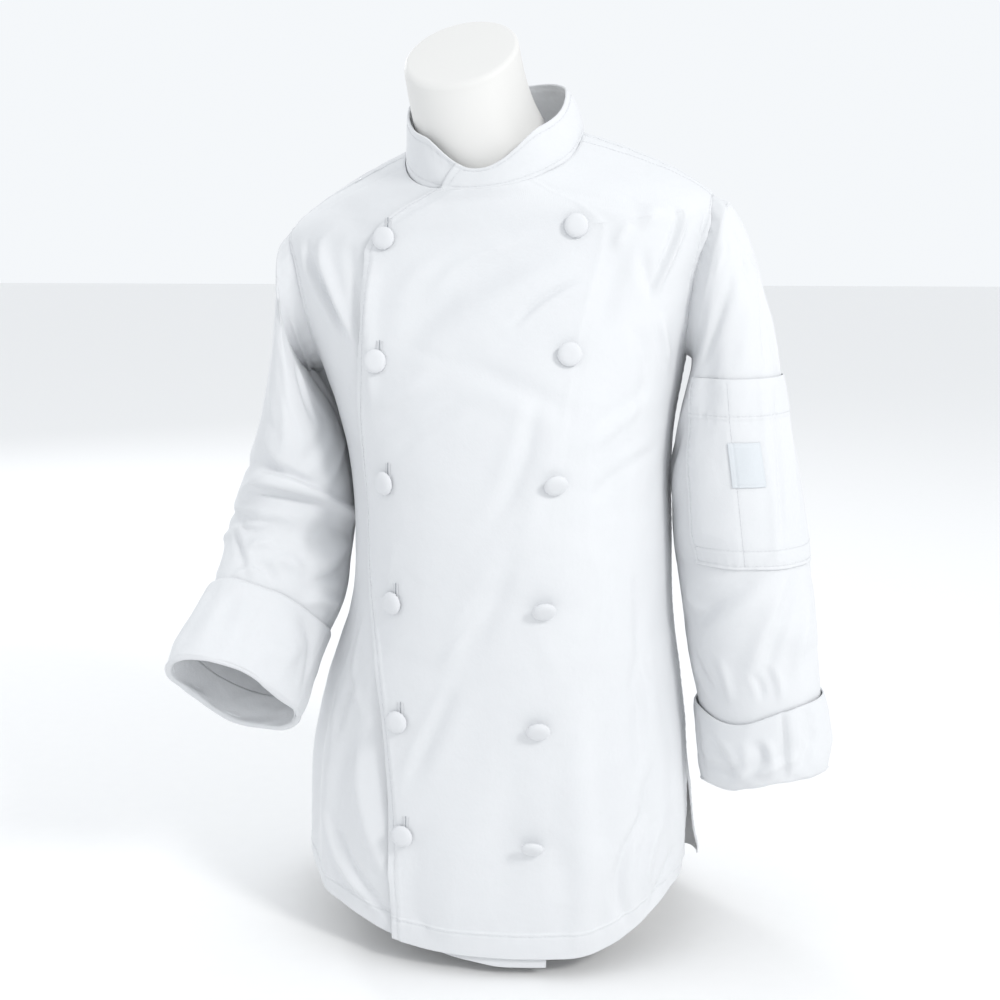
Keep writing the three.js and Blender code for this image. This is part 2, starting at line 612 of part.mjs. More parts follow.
// Dress form: follows the jacket from inside, comes up to it on the shoulders, ends in a neck
function formRings(columns) {
  const levels = [0, 1.5, 3, 4, 5, 6, 7, 8, 9, 9.6, 10.2, 11, 11.7, 12.4, 13.1];
  const base = [];
  const rings = [];
  for (const level of levels) {
    const row = [];
    for (let j = 0; j < columns; j += 1) {
      const angle = (2 * Math.PI * j) / columns;
      const frontness = smooth(0.1, 0.6, -Math.sin(angle));
      const ease = formEase(level) + CLOTH + FORM_CLEARANCE + FORM_CHEST_EASE * frontness;
      const normal = bodyNormal(angle, Math.max(level, 0.5));
      if (level < FORM_SLOPE_LEVEL) normal.setZ(0).normalize();
      row.push(bodyPoint(angle, level).addScaledVector(normal, -ease));
    }
    rings.push(row);
  }
  for (const point of rings[0]) base.push(new THREE.Vector3(point.x, point.y, 0));
  return [base, ...rings];
}

function formEase(level) {
  const next = Math.max(FORM_EASE.findIndex((row) => row.level >= level), 1);
  const [low, high] = [FORM_EASE[next - 1], FORM_EASE[next]];
  return mix(low.ease, high.ease, (level - low.level) / (high.level - low.level));
}

function dressForm() {
  const columns = 30;
  const rings = formRings(columns);
  for (const ring of FORM_NECK_RINGS) {
    const row = [];
    for (let j = 0; j < columns; j += 1) {
      const angle = (2 * Math.PI * j) / columns;
      const y = ring.halfY * Math.sin(angle);
      const x = ring.x + ring.halfX * Math.cos(angle);
      row.push(tilted(new THREE.Vector3(x, ring.y + y, ring.z + ring.tilt * y)));
    }
    rings.push(row);
  }
  const vertices = [];
  for (const row of rings) for (const point of row) vertices.push(point.x, point.y, point.z);
  const faces = [];
  const id = (i, j) => i * columns + (j % columns);
  for (let i = 0; i < rings.length - 1; i += 1) {
    for (let j = 0; j < columns; j += 1) {
      faces.push(id(i, j), id(i, j + 1), id(i + 1, j + 1), id(i, j), id(i + 1, j + 1), id(i + 1, j));
    }
  }
  for (const [row, flip] of [[0, true], [rings.length - 1, false]]) {
    const middle = new THREE.Vector3();
    for (const point of rings[row]) middle.addScaledVector(point, 1 / columns);
    const tip = vertices.length / 3;
    vertices.push(middle.x, middle.y, middle.z);
    for (let j = 0; j < columns; j += 1) {
      if (flip) faces.push(tip, id(row, j + 1), id(row, j));
      else faces.push(tip, id(row, j), id(row, j + 1));
    }
  }
  return solid(vertices, faces);
}

const jacket = new THREE.Group();

function add(name, geometry, look) {
  const mesh = new THREE.Mesh(geometry, new THREE.MeshStandardMaterial(look));
  mesh.name = name;
  jacket.add(mesh);
  return mesh;
}

const leftSleeve = {
  side: 1,
  rings: LEFT_SLEEVE_RINGS,
  folds: LEFT_SLEEVE_FOLDS,
  cuffStart: LEFT_CUFF_START,
};
const rightSleeve = {
  side: -1,
  rings: RIGHT_SLEEVE_RINGS,
  folds: RIGHT_SLEEVE_FOLDS,
  cuffStart: RIGHT_CUFF_START,
};

add('dress_form', dressForm(), FORM_PLASTIC);
add('back', backPanel(), WHITE_COTTON);
add('front_under', underFront(), WHITE_COTTON);
add('front_over', overFront(), WHITE_COTTON);
add('collar', collarBand(), WHITE_COTTON);
add('sleeve_left', sleeveBody(leftSleeve), WHITE_COTTON);
add('sleeve_right', sleeveBody(rightSleeve), WHITE_COTTON);
add('cuff_left', cuff(leftSleeve), WHITE_COTTON);
add('cuff_right', cuff(rightSleeve), WHITE_COTTON);
add('sleeve_pocket', sleevePatch(leftSleeve, POCKET, 10, 10, PATCH_LIFT), WHITE_COTTON);
add('label', sleevePatch(leftSleeve, LABEL, 4, 3, 1.5 * PATCH_LIFT + POCKET.thickness), LABEL_WEAVE);
BUTTON_ROWS.forEach((row, index) => {
  for (const [name, side] of [['right', -1], ['left', 1]]) {
    const mesh = add(`button_${name}_${index + 1}`, buttonShape(), WHITE_COTTON);
    placeButton(mesh, side * row.x, row.z);
  }
});

export default jacket;
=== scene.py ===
"""Looks of a double-breasted chef jacket worn on a limbless dress form.

The cloth repeats the surfaces of the CAD solids from the same named sizes, as thin shells with
folds, hems and stitching. Sizes are in millimetres here and turn into metres in make_mesh().
"""

import math

import bpy
import numpy as np
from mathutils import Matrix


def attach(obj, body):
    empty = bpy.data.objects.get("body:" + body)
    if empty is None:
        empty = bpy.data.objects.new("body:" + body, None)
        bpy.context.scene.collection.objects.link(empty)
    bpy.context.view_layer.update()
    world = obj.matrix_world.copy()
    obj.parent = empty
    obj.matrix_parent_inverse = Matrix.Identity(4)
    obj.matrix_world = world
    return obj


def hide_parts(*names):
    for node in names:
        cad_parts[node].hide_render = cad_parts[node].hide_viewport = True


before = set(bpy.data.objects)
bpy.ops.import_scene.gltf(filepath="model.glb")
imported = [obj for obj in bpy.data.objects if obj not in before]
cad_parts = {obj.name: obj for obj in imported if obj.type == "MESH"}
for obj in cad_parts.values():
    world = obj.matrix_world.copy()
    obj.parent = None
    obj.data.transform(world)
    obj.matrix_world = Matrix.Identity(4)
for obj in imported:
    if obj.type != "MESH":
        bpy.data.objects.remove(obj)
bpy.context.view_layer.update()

DEGREE = math.pi / 180
MM = 0.001

# Sizes shared with the solids
SUPERELLIPSE = 2.3
SHOULDER_TILT = 0.06 / 600
LAP_DROP = 3.1
LAP_NECK_DROP = 2.5
LAP_SLOPE_FROM = 70
LAP_SLOPE_TO = 24
HEM_RISE = 48
HEM_RISE_ANGLE = 66 * DEGREE
UNDER_HEM_RISE_ANGLE = 92 * DEGREE
VENT_TOP_LEVEL = 1.9
VENT_SPREAD = 3.5 * DEGREE
VENT_FLARE = 11
VENT_FLARE_ANGLE = 34 * DEGREE
OVER_HEM_LIFT = 9
ARMHOLE_LOW_LEVEL = 7.0
ARMHOLE_TOP_LEVEL = 10.08
ARMHOLE_LEFT_FRONT, ARMHOLE_LEFT_BACK = 21 * DEGREE, 21 * DEGREE
ARMHOLE_RIGHT_FRONT, ARMHOLE_RIGHT_BACK = 29 * DEGREE, 17 * DEGREE
OVER_EDGE_HEM_X = 66
OVER_EDGE_CORNER_X = 97
OVER_EDGE_WAIST_OUT, OVER_EDGE_WAIST_LEVEL, OVER_EDGE_WAIST_REACH = 12, 5.8, 4
OVER_CORNER_LEVEL = 9.55
CORNER_ROUNDING = 0.16
TOP_EDGE_CURVE = 1.35
COLLAR_END_X = 34
NECK_LEVEL = 14

# Cloth as it shows: one layer, its hems and what is folded double
CLOTH = 1.0
FOLDED_CLOTH = 2.0

BODY_COLUMNS = ("z", "middle_x", "half_width", "front", "back", "middle_y", "front_tilt", "back_tilt")
BODY_SECTIONS = (
    (8, 0, 172, 140, 136, 0, 0, 0),
    (95, 0, 172, 140, 134, 0, 0, 0),
    (165, 1, 169, 140, 129, 0, 0, 0),
    (228, 5, 158, 141, 122, 0, 0, 0),
    (290, 11, 144, 143, 116, 0, 0, 0),
    (350, 13, 140, 144, 114, 0, 0, 0),
    (430, 10, 142, 139, 117, 0, 0, 0),
    (505, 5, 158, 127, 121, 0, 0, 0),
    (560, 1, 177, 109, 118, 0, 0, 0),
    (602, 0, 187, 95, 110, 0, 0.1, 0.02),
    (632, 0, 183, 87, 99, -2, 0.24, 0.08),
    (652, 0, 157, 81, 90, -7, 0.34, 0.2),
    (667, 0, 127, 75, 81, -12, 0.45, 0.25),
    (679, 0, 99, 69, 73, -17, 0.56, 0.25),
    (688, 0, 75, 65, 65, -22, 0.61, 0.23),
)

# Largest soft folds of the body, as in the solids, in degrees, levels and mm
WIDE_FOLD_COLUMNS = ("angle", "level", "width", "reach", "depth")
WIDE_FOLDS = (
    (-152, 2.0, 9, 2.6, -6),
    (-138, 1.2, 8, 2.4, 5),
    (-60, 1.4, 10, 2.6, 4),
    (-34, 2.2, 9, 2.8, -5),
    (-14, 1.2, 8, 2.2, 4),
    (-142, 5.6, 14, 1.6, -4),
    (-46, 5.4, 11, 1.8, -4),
    (30, 1.6, 9, 2.8, 6),
    (58, 2.4, 10, 3.2, -6),
    (88, 1.5, 11, 3.0, 5),
    (120, 2.3, 10, 3.2, -6),
    (148, 1.5, 9, 2.6, 5),
)

SLEEVE_COLUMNS = ("x", "y", "z", "lean", "swing", "half", "depth")
LEFT_SLEEVE_RINGS = (
    (182, 0, 565, 12, 0, 65, 58),
    (188, 0, 551, 19, 0, 61, 60),
    (193, -2, 526, 29, 0, 57, 61),
    (197, -5, 491, 41, 0, 54, 61),
    (201, -8, 446, 55, 0, 53, 60),
    (207, -8, 401, 68, 0, 52, 59),
    (214, -8, 343, 82, 2, 55, 58),
    (222, -8, 290, 88, 4, 56, 57),
    (228, -9, 245, 88, 6, 55, 56),
    (234, -12, 207, 86, 7, 52, 54),
    (240, -17, 146, 80, 9, 50, 52),
)
RIGHT_SLEEVE_RINGS = (
    (179, -4, 563, 10, 0, 61, 58),
    (173, -12, 545, 15, 0, 57, 60),
    (167, -22, 518, 24, 0, 53, 61),
    (164, -32, 485, 36, -2, 48, 62),
    (165, -38, 450, 50, 0, 45, 62),
    (169, -39, 413, 66, 6, 47, 61),
    (176, -38, 378, 76, 18, 51, 60),
    (181, -45, 348, 76, 31, 53, 58),
    (182, -62, 318, 71, 42, 53, 55),
    (189, -87, 287, 64, 46, 50, 52),
    (196, -111, 261, 60, 47, 49, 52),
    (201, -136, 235, 58, 47, 52, 54),
)
WIDE_SLEEVE_FOLD_COLUMNS = ("around", "ring", "width", "reach", "depth")
LEFT_SLEEVE_WIDE_FOLDS = (
    (60, 2.6, 34, 1.4, 3.5),
    (110, 4.0, 26, 1.7, -3.5),
    (-70, 3.6, 30, 1.6, -4),
    (-130, 6.0, 40, 0.7, -4),
    (130, 7.0, 44, 0.5, -4),
    (40, 8.4, 40, 0.45, 3),
    (154, 3.3, 50, 1.6, 9),
    (168, 5.4, 70, 2.3, 6.3),
)
RIGHT_SLEEVE_WIDE_FOLDS = (
    (60, 2.2, 30, 1.3, -4),
    (100, 3.4, 26, 1.2, 4),
    (90, 5.9, 70, 0.4, -6),
    (70, 6.9, 60, 0.4, 4),
    (60, 7.9, 50, 0.4, -4),
    (-100, 5.0, 60, 0.8, 4),
    (-60, 3.6, 30, 1.5, -4),
)

LEFT_CUFF_START = 9.75
RIGHT_CUFF_START = 9.85
CUFF_BULGE = 2.6
CUFF_FLARE = 0.5
CUFF_RIM_WAVE = 1.3
CUFF_STAND = 5

POCKET = {"from": -15, "to": 135, "top": 497, "bottom": 341}
LABEL = {"from": 61, "to": 90, "top": 446, "bottom": 410}
PATCH_LIFT = 0.7

BUTTON_RADIUS = 9.6
BUTTON_HEIGHT = 5.6
BUTTON_ROWS = ((614, 79), (515, 79), (416, 70), (317, 63), (217, 59), (118, 55))

FORM_EASE = ((0, 42), (2, 31), (4, 25), (6, 20), (8, 16), (10, 13), (11, 8), (12.4, 3), (14, 3))
FORM_CHEST_EASE = 9
FORM_NECK_COLUMNS = ("x", "y", "z", "half_x", "half_y", "tilt")
FORM_NECK_RINGS = (
    (-5, -20, 679, 60, 51, 0.45),
    (-12, -24, 701, 53, 49, 0.5),
    (-17, -28, 718, 50, 46, 0.58),
    (-21, -33, 737, 48.5, 42, 0.7),
    (-24, -38, 758, 48, 37.5, 0.84),
)


def column(rows, names, name, at):
    """Value of one column of a table at fractional rows, by a smooth cubic through the rows."""
    values = np.array([row[names.index(name)] for row in rows], float)
    last = len(values) - 1
    place = np.clip(at, 0, last)
    i = np.minimum(np.floor(place).astype(int), last - 1)
    t = place - i
    before, here, after = values[np.maximum(i - 1, 0)], values[i], values[i + 1]
    beyond = values[np.minimum(i + 2, last)]
    slope_here = (after - before) / 2
    slope_after = (beyond - here) / 2
    t2, t3 = t * t, t * t * t
    return (
        (2 * t3 - 3 * t2 + 1) * here
        + (t3 - 2 * t2 + t) * slope_here
        + (3 * t2 - 2 * t3) * after
        + (t3 - t2) * slope_after
    )


def smooth(low, high, value):
    t = np.clip((value - low) / (high - low), 0, 1)
    return t * t * (3 - 2 * t)


def mix(a, b, t):
    return a + (b - a) * t


def bump(distance, width):
    """Height of a soft bump that falls from 1 to 0 over its width."""
    return 0.5 + 0.5 * np.cos(math.pi * np.minimum(np.abs(distance) / width, 1))


def turn_between(a, b):
    return np.mod(a - b + 180, 360) - 180


def power(value):
    return np.sign(value) * np.abs(value) ** (2 / SUPERELLIPSE)


def body_column(name, level):
    return column(BODY_SECTIONS, BODY_COLUMNS, name, level)


def tilted(points):
    """The left shoulder stands a little higher than the right one."""
    points[..., 2] *= 1 + SHOULDER_TILT * points[..., 0]
    return points


def body_point(angle, level):
    """Points of the jacket's body: angle 0 is the wearer's left, -90 degrees the centre front."""
    angle, level = np.broadcast_arrays(np.asarray(angle, float), np.asarray(level, float))
    front = np.sin(angle) < 0
    depth = np.where(front, body_column("front", level), body_column("back", level))
    tilt = np.where(front, body_column("front_tilt", level), body_column("back_tilt", level))
    out = np.zeros(angle.shape)
    for fold_angle, fold_level, width, reach, fold_depth in WIDE_FOLDS:
        across = bump(turn_between(angle / DEGREE, fold_angle), width)
        out += fold_depth * across * bump(level - fold_level, reach)
    x = body_column("middle_x", level) + (body_column("half_width", level) + out) * power(np.cos(angle))
    y = (depth + out) * power(np.sin(angle))
    rise_angle = np.where(front & (np.cos(angle) < 0), UNDER_HEM_RISE_ANGLE, HEM_RISE_ANGLE)
    hem = bump(level, 1) * HEM_RISE * bump(np.arcsin(np.sin(angle)), rise_angle)
    z = body_column("z", level) + tilt * y + hem
    return tilted(np.stack([x, body_column("middle_y", level) + y, z], -1))


def outward(surface, a, b, step_a, step_b):
    """Outward directions of a surface given as a function of two arrays."""
    along_a = surface(a + step_a, b) - surface(a - step_a, b)
    along_b = surface(a, b + step_b) - surface(a, b - step_b)
    normal = np.cross(along_a, along_b)
    return normal / np.maximum(np.linalg.norm(normal, axis=-1, keepdims=True), 1e-9)


def body_normal(angle, level):
    return outward(body_point, angle, np.clip(level, 0.02, NECK_LEVEL - 0.02), 0.02, 0.02)


def front_angle(x, level):
    across = x - body_column("middle_x", level)
    ratio = np.clip(np.abs(across) / body_column("half_width", level), 0, 1)
    return -90 * DEGREE + np.sign(across) * np.arcsin(ratio ** (SUPERELLIPSE / 2))


def armhole_angle(level, widest):
    """How far an armhole's oval comes round from the side at this level."""
    middle = (ARMHOLE_LOW_LEVEL + ARMHOLE_TOP_LEVEL) / 2
    reach = (ARMHOLE_TOP_LEVEL - ARMHOLE_LOW_LEVEL) / 2
    t = np.clip((level - middle) / reach, -1, 1)
    return widest * np.sqrt(1 - t * t)


def vent_angle(level):
    return VENT_SPREAD * (1 - smooth(0, VENT_TOP_LEVEL, level))


def over_edge_x(level):
    """Distance of the over front's free edge from the centre front."""
    waist = OVER_EDGE_WAIST_OUT * bump(level - OVER_EDGE_WAIST_LEVEL, OVER_EDGE_WAIST_REACH)
    straight = mix(OVER_EDGE_HEM_X, OVER_EDGE_CORNER_X, np.minimum(level / OVER_CORNER_LEVEL, 1)) + waist
    start = OVER_CORNER_LEVEL - CORNER_ROUNDING
    t = np.clip((level - start) / (NECK_LEVEL - start), 0, 1)
    slanted = mix(OVER_EDGE_CORNER_X, COLLAR_END_X, t**TOP_EDGE_CURVE)
    return np.where(level < start, straight, slanted)


# The cloth's own places: girth in mm from the centre front, and height in mm
GIRTH_RADIUS = 160


def girth_of(angle):
    return GIRTH_RADIUS * (angle + 90 * DEGREE)


# Creases of the cloth; a ridge is positive, a trough negative.
# A row of cloth places runs from one place to another. bow curves it sideways, and lip is the share of
# a lower ripple that runs beside it. A row of photo places has three points given in the
# photograph's pixels, which crease_rows takes to the cloth through the photograph's camera.
CREASE_COLUMNS = ("from_u", "from_v", "to_u", "to_v", "width", "depth", "bow", "lip")
PHOTO_CREASE_COLUMNS = (
    "start_x", "start_y", "middle_x", "middle_y", "end_x", "end_y", "width", "depth", "lip",
)
PHOTO_TURN = 11.2 * DEGREE
PHOTO_PITCH = 9.5 * DEGREE
PHOTO_EYE = np.array([233.0, -1177.0, 593.0])
PHOTO_FOCAL = 1365
PHOTO_CENTRE = (499, 487)
PHOTO_REACH = 3  # a crease's point is sought within this many pixels, on the side that faces the camera
PHOTO_LEVEL = np.array([-math.sin(PHOTO_TURN), math.cos(PHOTO_TURN), 0])
PHOTO_RIGHT = np.array([math.cos(PHOTO_TURN), math.sin(PHOTO_TURN), 0])
PHOTO_FORWARD = math.cos(PHOTO_PITCH) * PHOTO_LEVEL - math.sin(PHOTO_PITCH) * np.array([0, 0, 1])
PHOTO_UP = np.cross(PHOTO_RIGHT, PHOTO_FORWARD)
FRONT_CREASE_GAIN = 1.7
BACK_CREASE_GAIN = 1.5
LEFT_CREASE_GAIN = 1.5
RIGHT_CREASE_GAIN = 1.25
CUFF_CREASE_GAIN = 1.2


class PhotoPanel:
    """Where the points of a panel lie in the photograph."""

    def __init__(self, points, u, v):
        offset = points - PHOTO_EYE
        self.away = offset @ PHOTO_FORWARD
        self.x = PHOTO_CENTRE[0] + PHOTO_FOCAL * (offset @ PHOTO_RIGHT) / self.away
        self.y = PHOTO_CENTRE[1] - PHOTO_FOCAL * (offset @ PHOTO_UP) / self.away
        self.u, self.v = u, v

    def place(self, x, y):
        """Cloth place seen at a pixel."""
        distance = np.hypot(self.x - x, self.y - y)
        near = distance < max(PHOTO_REACH, distance.min() + 0.6)
        seen = np.argmin(np.where(near, self.away, np.inf))
        return float(self.u.flat[seen]), float(self.v.flat[seen])


def crease_rows(panel, photo_rows, cloth_rows, gain):
    """Crease rows in cloth places, to whole mm or degrees, with their depths raised by the gain."""
    rows = []
    for start_x, start_y, middle_x, middle_y, end_x, end_y, width, depth, lip in photo_rows:
        from_u, from_v = panel.place(start_x, start_y)
        middle_u, middle_v = panel.place(middle_x, middle_y)
        to_u, to_v = panel.place(end_x, end_y)
        middle_u = from_u + turn_between(middle_u, from_u)
        to_u = middle_u + turn_between(to_u, middle_u)
        run_u, run_v = to_u - from_u, to_v - from_v
        length = math.hypot(run_u, run_v)
        t = ((middle_u - from_u) * run_u + (middle_v - from_v) * run_v) / length**2
        aside = ((middle_u - from_u) * run_v - (middle_v - from_v) * run_u) / length
        bow = aside / max(4 * t * (1 - t), 0.4)
        rows.append((round(from_u), round(from_v), round(to_u), round(to_v), width, depth, round(bow), lip))
    rows += cloth_rows
    return [(*row[:5], round(gain * row[5], 1), *row[6:]) for row in rows]


def front_in_photo():
    angle, level = np.meshgrid(np.linspace(-180, 0, 500) * DEGREE, np.linspace(0, NECK_LEVEL, 700))
    points = body_point(angle, level)
    return PhotoPanel(points, girth_of(angle), points[..., 2])


FRONT_PHOTO_CREASES = (
    (402, 338, 440, 300, 541, 247, 12, -2.6, 0.5),
    (462, 330, 505, 285, 566, 262, 17, 1.6, 0),
    (515, 318, 546, 292, 574, 279, 3.2, -1.7, 0.5),
    (432, 290, 460, 262, 520, 236, 5, 1, 0.3),
    (394, 300, 425, 262, 500, 222, 7, 0.9, 0.5),
    (372, 262, 366, 320, 368, 404, 7, 2.2, 0.3),
    (374, 408, 395, 394, 428, 376, 7, 1.3, 0.4),
    (392, 452, 425, 425, 470, 402, 6, -1.1, 0.4),
    (468, 366, 517, 386, 570, 410, 9, -1.7, 0.3),
    (538, 410, 524, 455, 488, 524, 7, -2, 0.45),
    (560, 430, 548, 470, 522, 540, 9, 1.1, 0),
    (686, 214, 675, 254, 659, 290, 4, 3, 0.45),
    (712, 216, 707, 234, 703, 252, 3.2, 2, 0.3),
    (656, 203, 652, 212, 646, 224, 4.5, 1.6, 0.3),
    (630, 222, 625, 234, 618, 246, 5, 1.5, 0.2),
    (622, 246, 612, 290, 604, 330, 12, -1.8, 0),
    (645, 250, 650, 275, 655, 296, 6, -1.7, 0.2),
    (664, 320, 668, 345, 671, 368, 5, 2, 0.3),
    (640, 330, 648, 372, 640, 420, 8, -1.4, 0.2),
    (650, 400, 622, 424, 590, 450, 7, 1.3, 0.5),
    (655, 452, 628, 470, 596, 500, 6, -1.2, 0.4),
    (458, 192, 425, 206, 386, 232, 6, 1, 0.4),
    (560, 190, 600, 196, 650, 188, 7, -1.2, 0.4),
    (508, 562, 492, 608, 458, 672, 8, -1.9, 0.4),
    (452, 690, 434, 728, 408, 782, 5, -1.8, 0.5),
    (480, 616, 462, 636, 440, 662, 4, 1.2, 0.3),
    (470, 700, 448, 742, 428, 786, 6, 0.9, 0.3),
    (632, 560, 640, 620, 634, 690, 7, -1, 0.3),
    (600, 560, 606, 600, 596, 660, 8, 1, 0.2),
    (636, 650, 650, 740, 634, 812, 11, 2.2, 0.2),
    (604, 700, 598, 780, 606, 850, 12, -1.3, 0),
    (512, 760, 506, 830, 500, 925, 13, -1.4, 0),
    (470, 840, 452, 890, 446, 950, 11, 1.3, 0),
    (560, 850, 566, 900, 560, 955, 10, -1.3, 0.2),
    (646, 812, 626, 862, 630, 935, 8, -3, 0.3),
    (663, 822, 650, 862, 648, 900, 7, 2.6, 0.2),
    (676, 850, 664, 886, 652, 915, 5, -1.8, 0.2),
    (420, 830, 410, 880, 418, 950, 9, -1, 0.2),
    (356, 740, 360, 815, 382, 878, 10, 3, 0),
    (371, 690, 378, 770, 388, 860, 7, -2.8, 0),
    (350, 676, 338, 704, 330, 740, 8, -2, 0.2),
    (326, 815, 352, 878, 386, 924, 5.5, -2.2, 0.5),
    (328, 850, 340, 876, 358, 902, 4.5, 1.3, 0.2),
    (356, 622, 350, 660, 356, 712, 6, 1.5, 0.2),
    (318, 238, 325, 282, 346, 336, 7, 3.4, 0.4),
    (303, 244, 314, 284, 335, 330, 5, -2.8, 0.2),
    (348, 240, 350, 290, 354, 350, 6, -1.3, 0.2),
    (330, 200, 350, 212, 366, 236, 6, -1, 0.3),
)
FRONT_CREASES = crease_rows(front_in_photo(), FRONT_PHOTO_CREASES, (), FRONT_CREASE_GAIN)
BACK_CLOTH_CREASES = (
    (560, 560, 640, 520, 12, -1.8, 8, 0.4),
    (610, 575, 700, 470, 9, 1.6, -10, 0.3),
    (800, 600, 900, 520, 11, -2, 10, 0.4),
    (930, 560, 860, 430, 9, 1.5, 8, 0.2),
    (720, 610, 760, 560, 8, -1.2, 4, 0.3),
    (700, 560, 740, 440, 12, -1.5, 0, 0),
    (540, 430, 660, 380, 8, -2, 10, 0.5),
    (560, 395, 640, 350, 7, 1.5, -6, 0.4),
    (960, 420, 850, 372, 8, -2, -10, 0.5),
    (930, 380, 840, 330, 6, 1.4, 6, 0.4),
    (700, 400, 780, 388, 8, -1.3, 6, 0.4),
    (640, 340, 600, 180, 14, 2.2, 12, 0),
    (700, 320, 690, 60, 16, -2.2, -8, 0),
    (780, 330, 800, 90, 14, 2, 8, 0),
    (870, 310, 900, 120, 13, -2, -10, 0),
    (930, 280, 960, 60, 12, 2, 6, 0),
    (560, 300, 540, 90, 12, -2, -6, 0),
    (600, 120, 640, 30, 10, -1.4, 4, 0.2),
    (840, 140, 830, 20, 11, 1.6, 4, 0.2),
    (760, 240, 745, 140, 7, -1, 4, 0.3),
    (650, 250, 668, 170, 6, -1, 3, 0.3),
    (520, 470, 545, 380, 6, 1.6, 6, 0.3),
    (985, 470, 965, 390, 6, -1.8, -6, 0.3),
)
BACK_CREASES = crease_rows(None, (), BACK_CLOTH_CREASES, BACK_CREASE_GAIN)


def creases(u, v, rows):
    """Height of a table of creases at places u, v."""
    height = np.zeros(u.shape)
    for from_u, from_v, to_u, to_v, width, depth, bow, lip in rows:
        run_u, run_v = to_u - from_u, to_v - from_v
        length = math.hypot(run_u, run_v)
        t = ((u - from_u) * run_u + (v - from_v) * run_v) / length**2
        inside = np.clip(t, 0, 1)
        aside = ((u - from_u) * run_v - (v - from_v) * run_u) / length - bow * 4 * inside * (1 - inside)
        along = smooth(-0.2, 0.3, t) * (1 - smooth(0.65, 1.2, t))
        r = aside / width
        height += depth * along * (np.exp(-r * r) - lip * np.exp(-((r - 1.7) ** 2)))
    return height


def ripple(u, v, seed, count, size, depth, slant=0.0, spread=0.6, box=None):
    """Small uneven wrinkles, as a seeded sum of short soft waves over the places or over a box of them."""
    rng = np.random.default_rng(seed)
    low_u, high_u, low_v, high_v = box or (u.min(), u.max(), v.min(), v.max())
    height = np.zeros(u.shape)
    for _ in range(count):
        middle_u, middle_v = rng.uniform(low_u, high_u), rng.uniform(low_v, high_v)
        way = slant + rng.normal(0, spread)
        width = size * rng.uniform(0.6, 1.5)
        length = width * rng.uniform(2.5, 6)
        across = (u - middle_u) * math.sin(way) - (v - middle_v) * math.cos(way)
        along = (u - middle_u) * math.cos(way) + (v - middle_v) * math.sin(way)
        height += depth * rng.uniform(-1, 1) * np.exp(-((across / width) ** 2) - (along / length) ** 2)
    return height


def make_mesh(name, vertices, faces, places=None, sharp_angle=None):
    """Mesh object from arrays in millimetres. places are its cloth coordinates, kept as a UV map in mm."""
    mesh = bpy.data.meshes.new(name)
    vertices = np.asarray(vertices, float) * MM
    faces = np.asarray(faces, np.int32)
    sides = faces.shape[1]
    mesh.vertices.add(len(vertices))
    mesh.vertices.foreach_set("co", vertices.ravel())
    mesh.loops.add(faces.size)
    mesh.loops.foreach_set("vertex_index", faces.ravel())
    mesh.polygons.add(len(faces))
    mesh.polygons.foreach_set("loop_start", np.arange(0, faces.size, sides, dtype=np.int32))
    mesh.update(calc_edges=True)
    if places is not None:
        layer = mesh.uv_layers.new(name="cloth")
        layer.data.foreach_set("uv", np.asarray(places, float)[faces.ravel()].ravel())
    mesh.validate()
    mesh.polygons.foreach_set("use_smooth", np.ones(len(mesh.polygons), bool))
    if sharp_angle is not None:
        mesh.set_sharp_from_angle(angle=sharp_angle)
    piece = bpy.data.objects.new(name, mesh)
    bpy.context.scene.collection.objects.link(piece)
    return piece


def strip_faces(a, b):
    """Quads between two equally long index rows."""
    return np.stack([a[:-1], a[1:], b[1:], b[:-1]], -1).reshape(-1, 4)


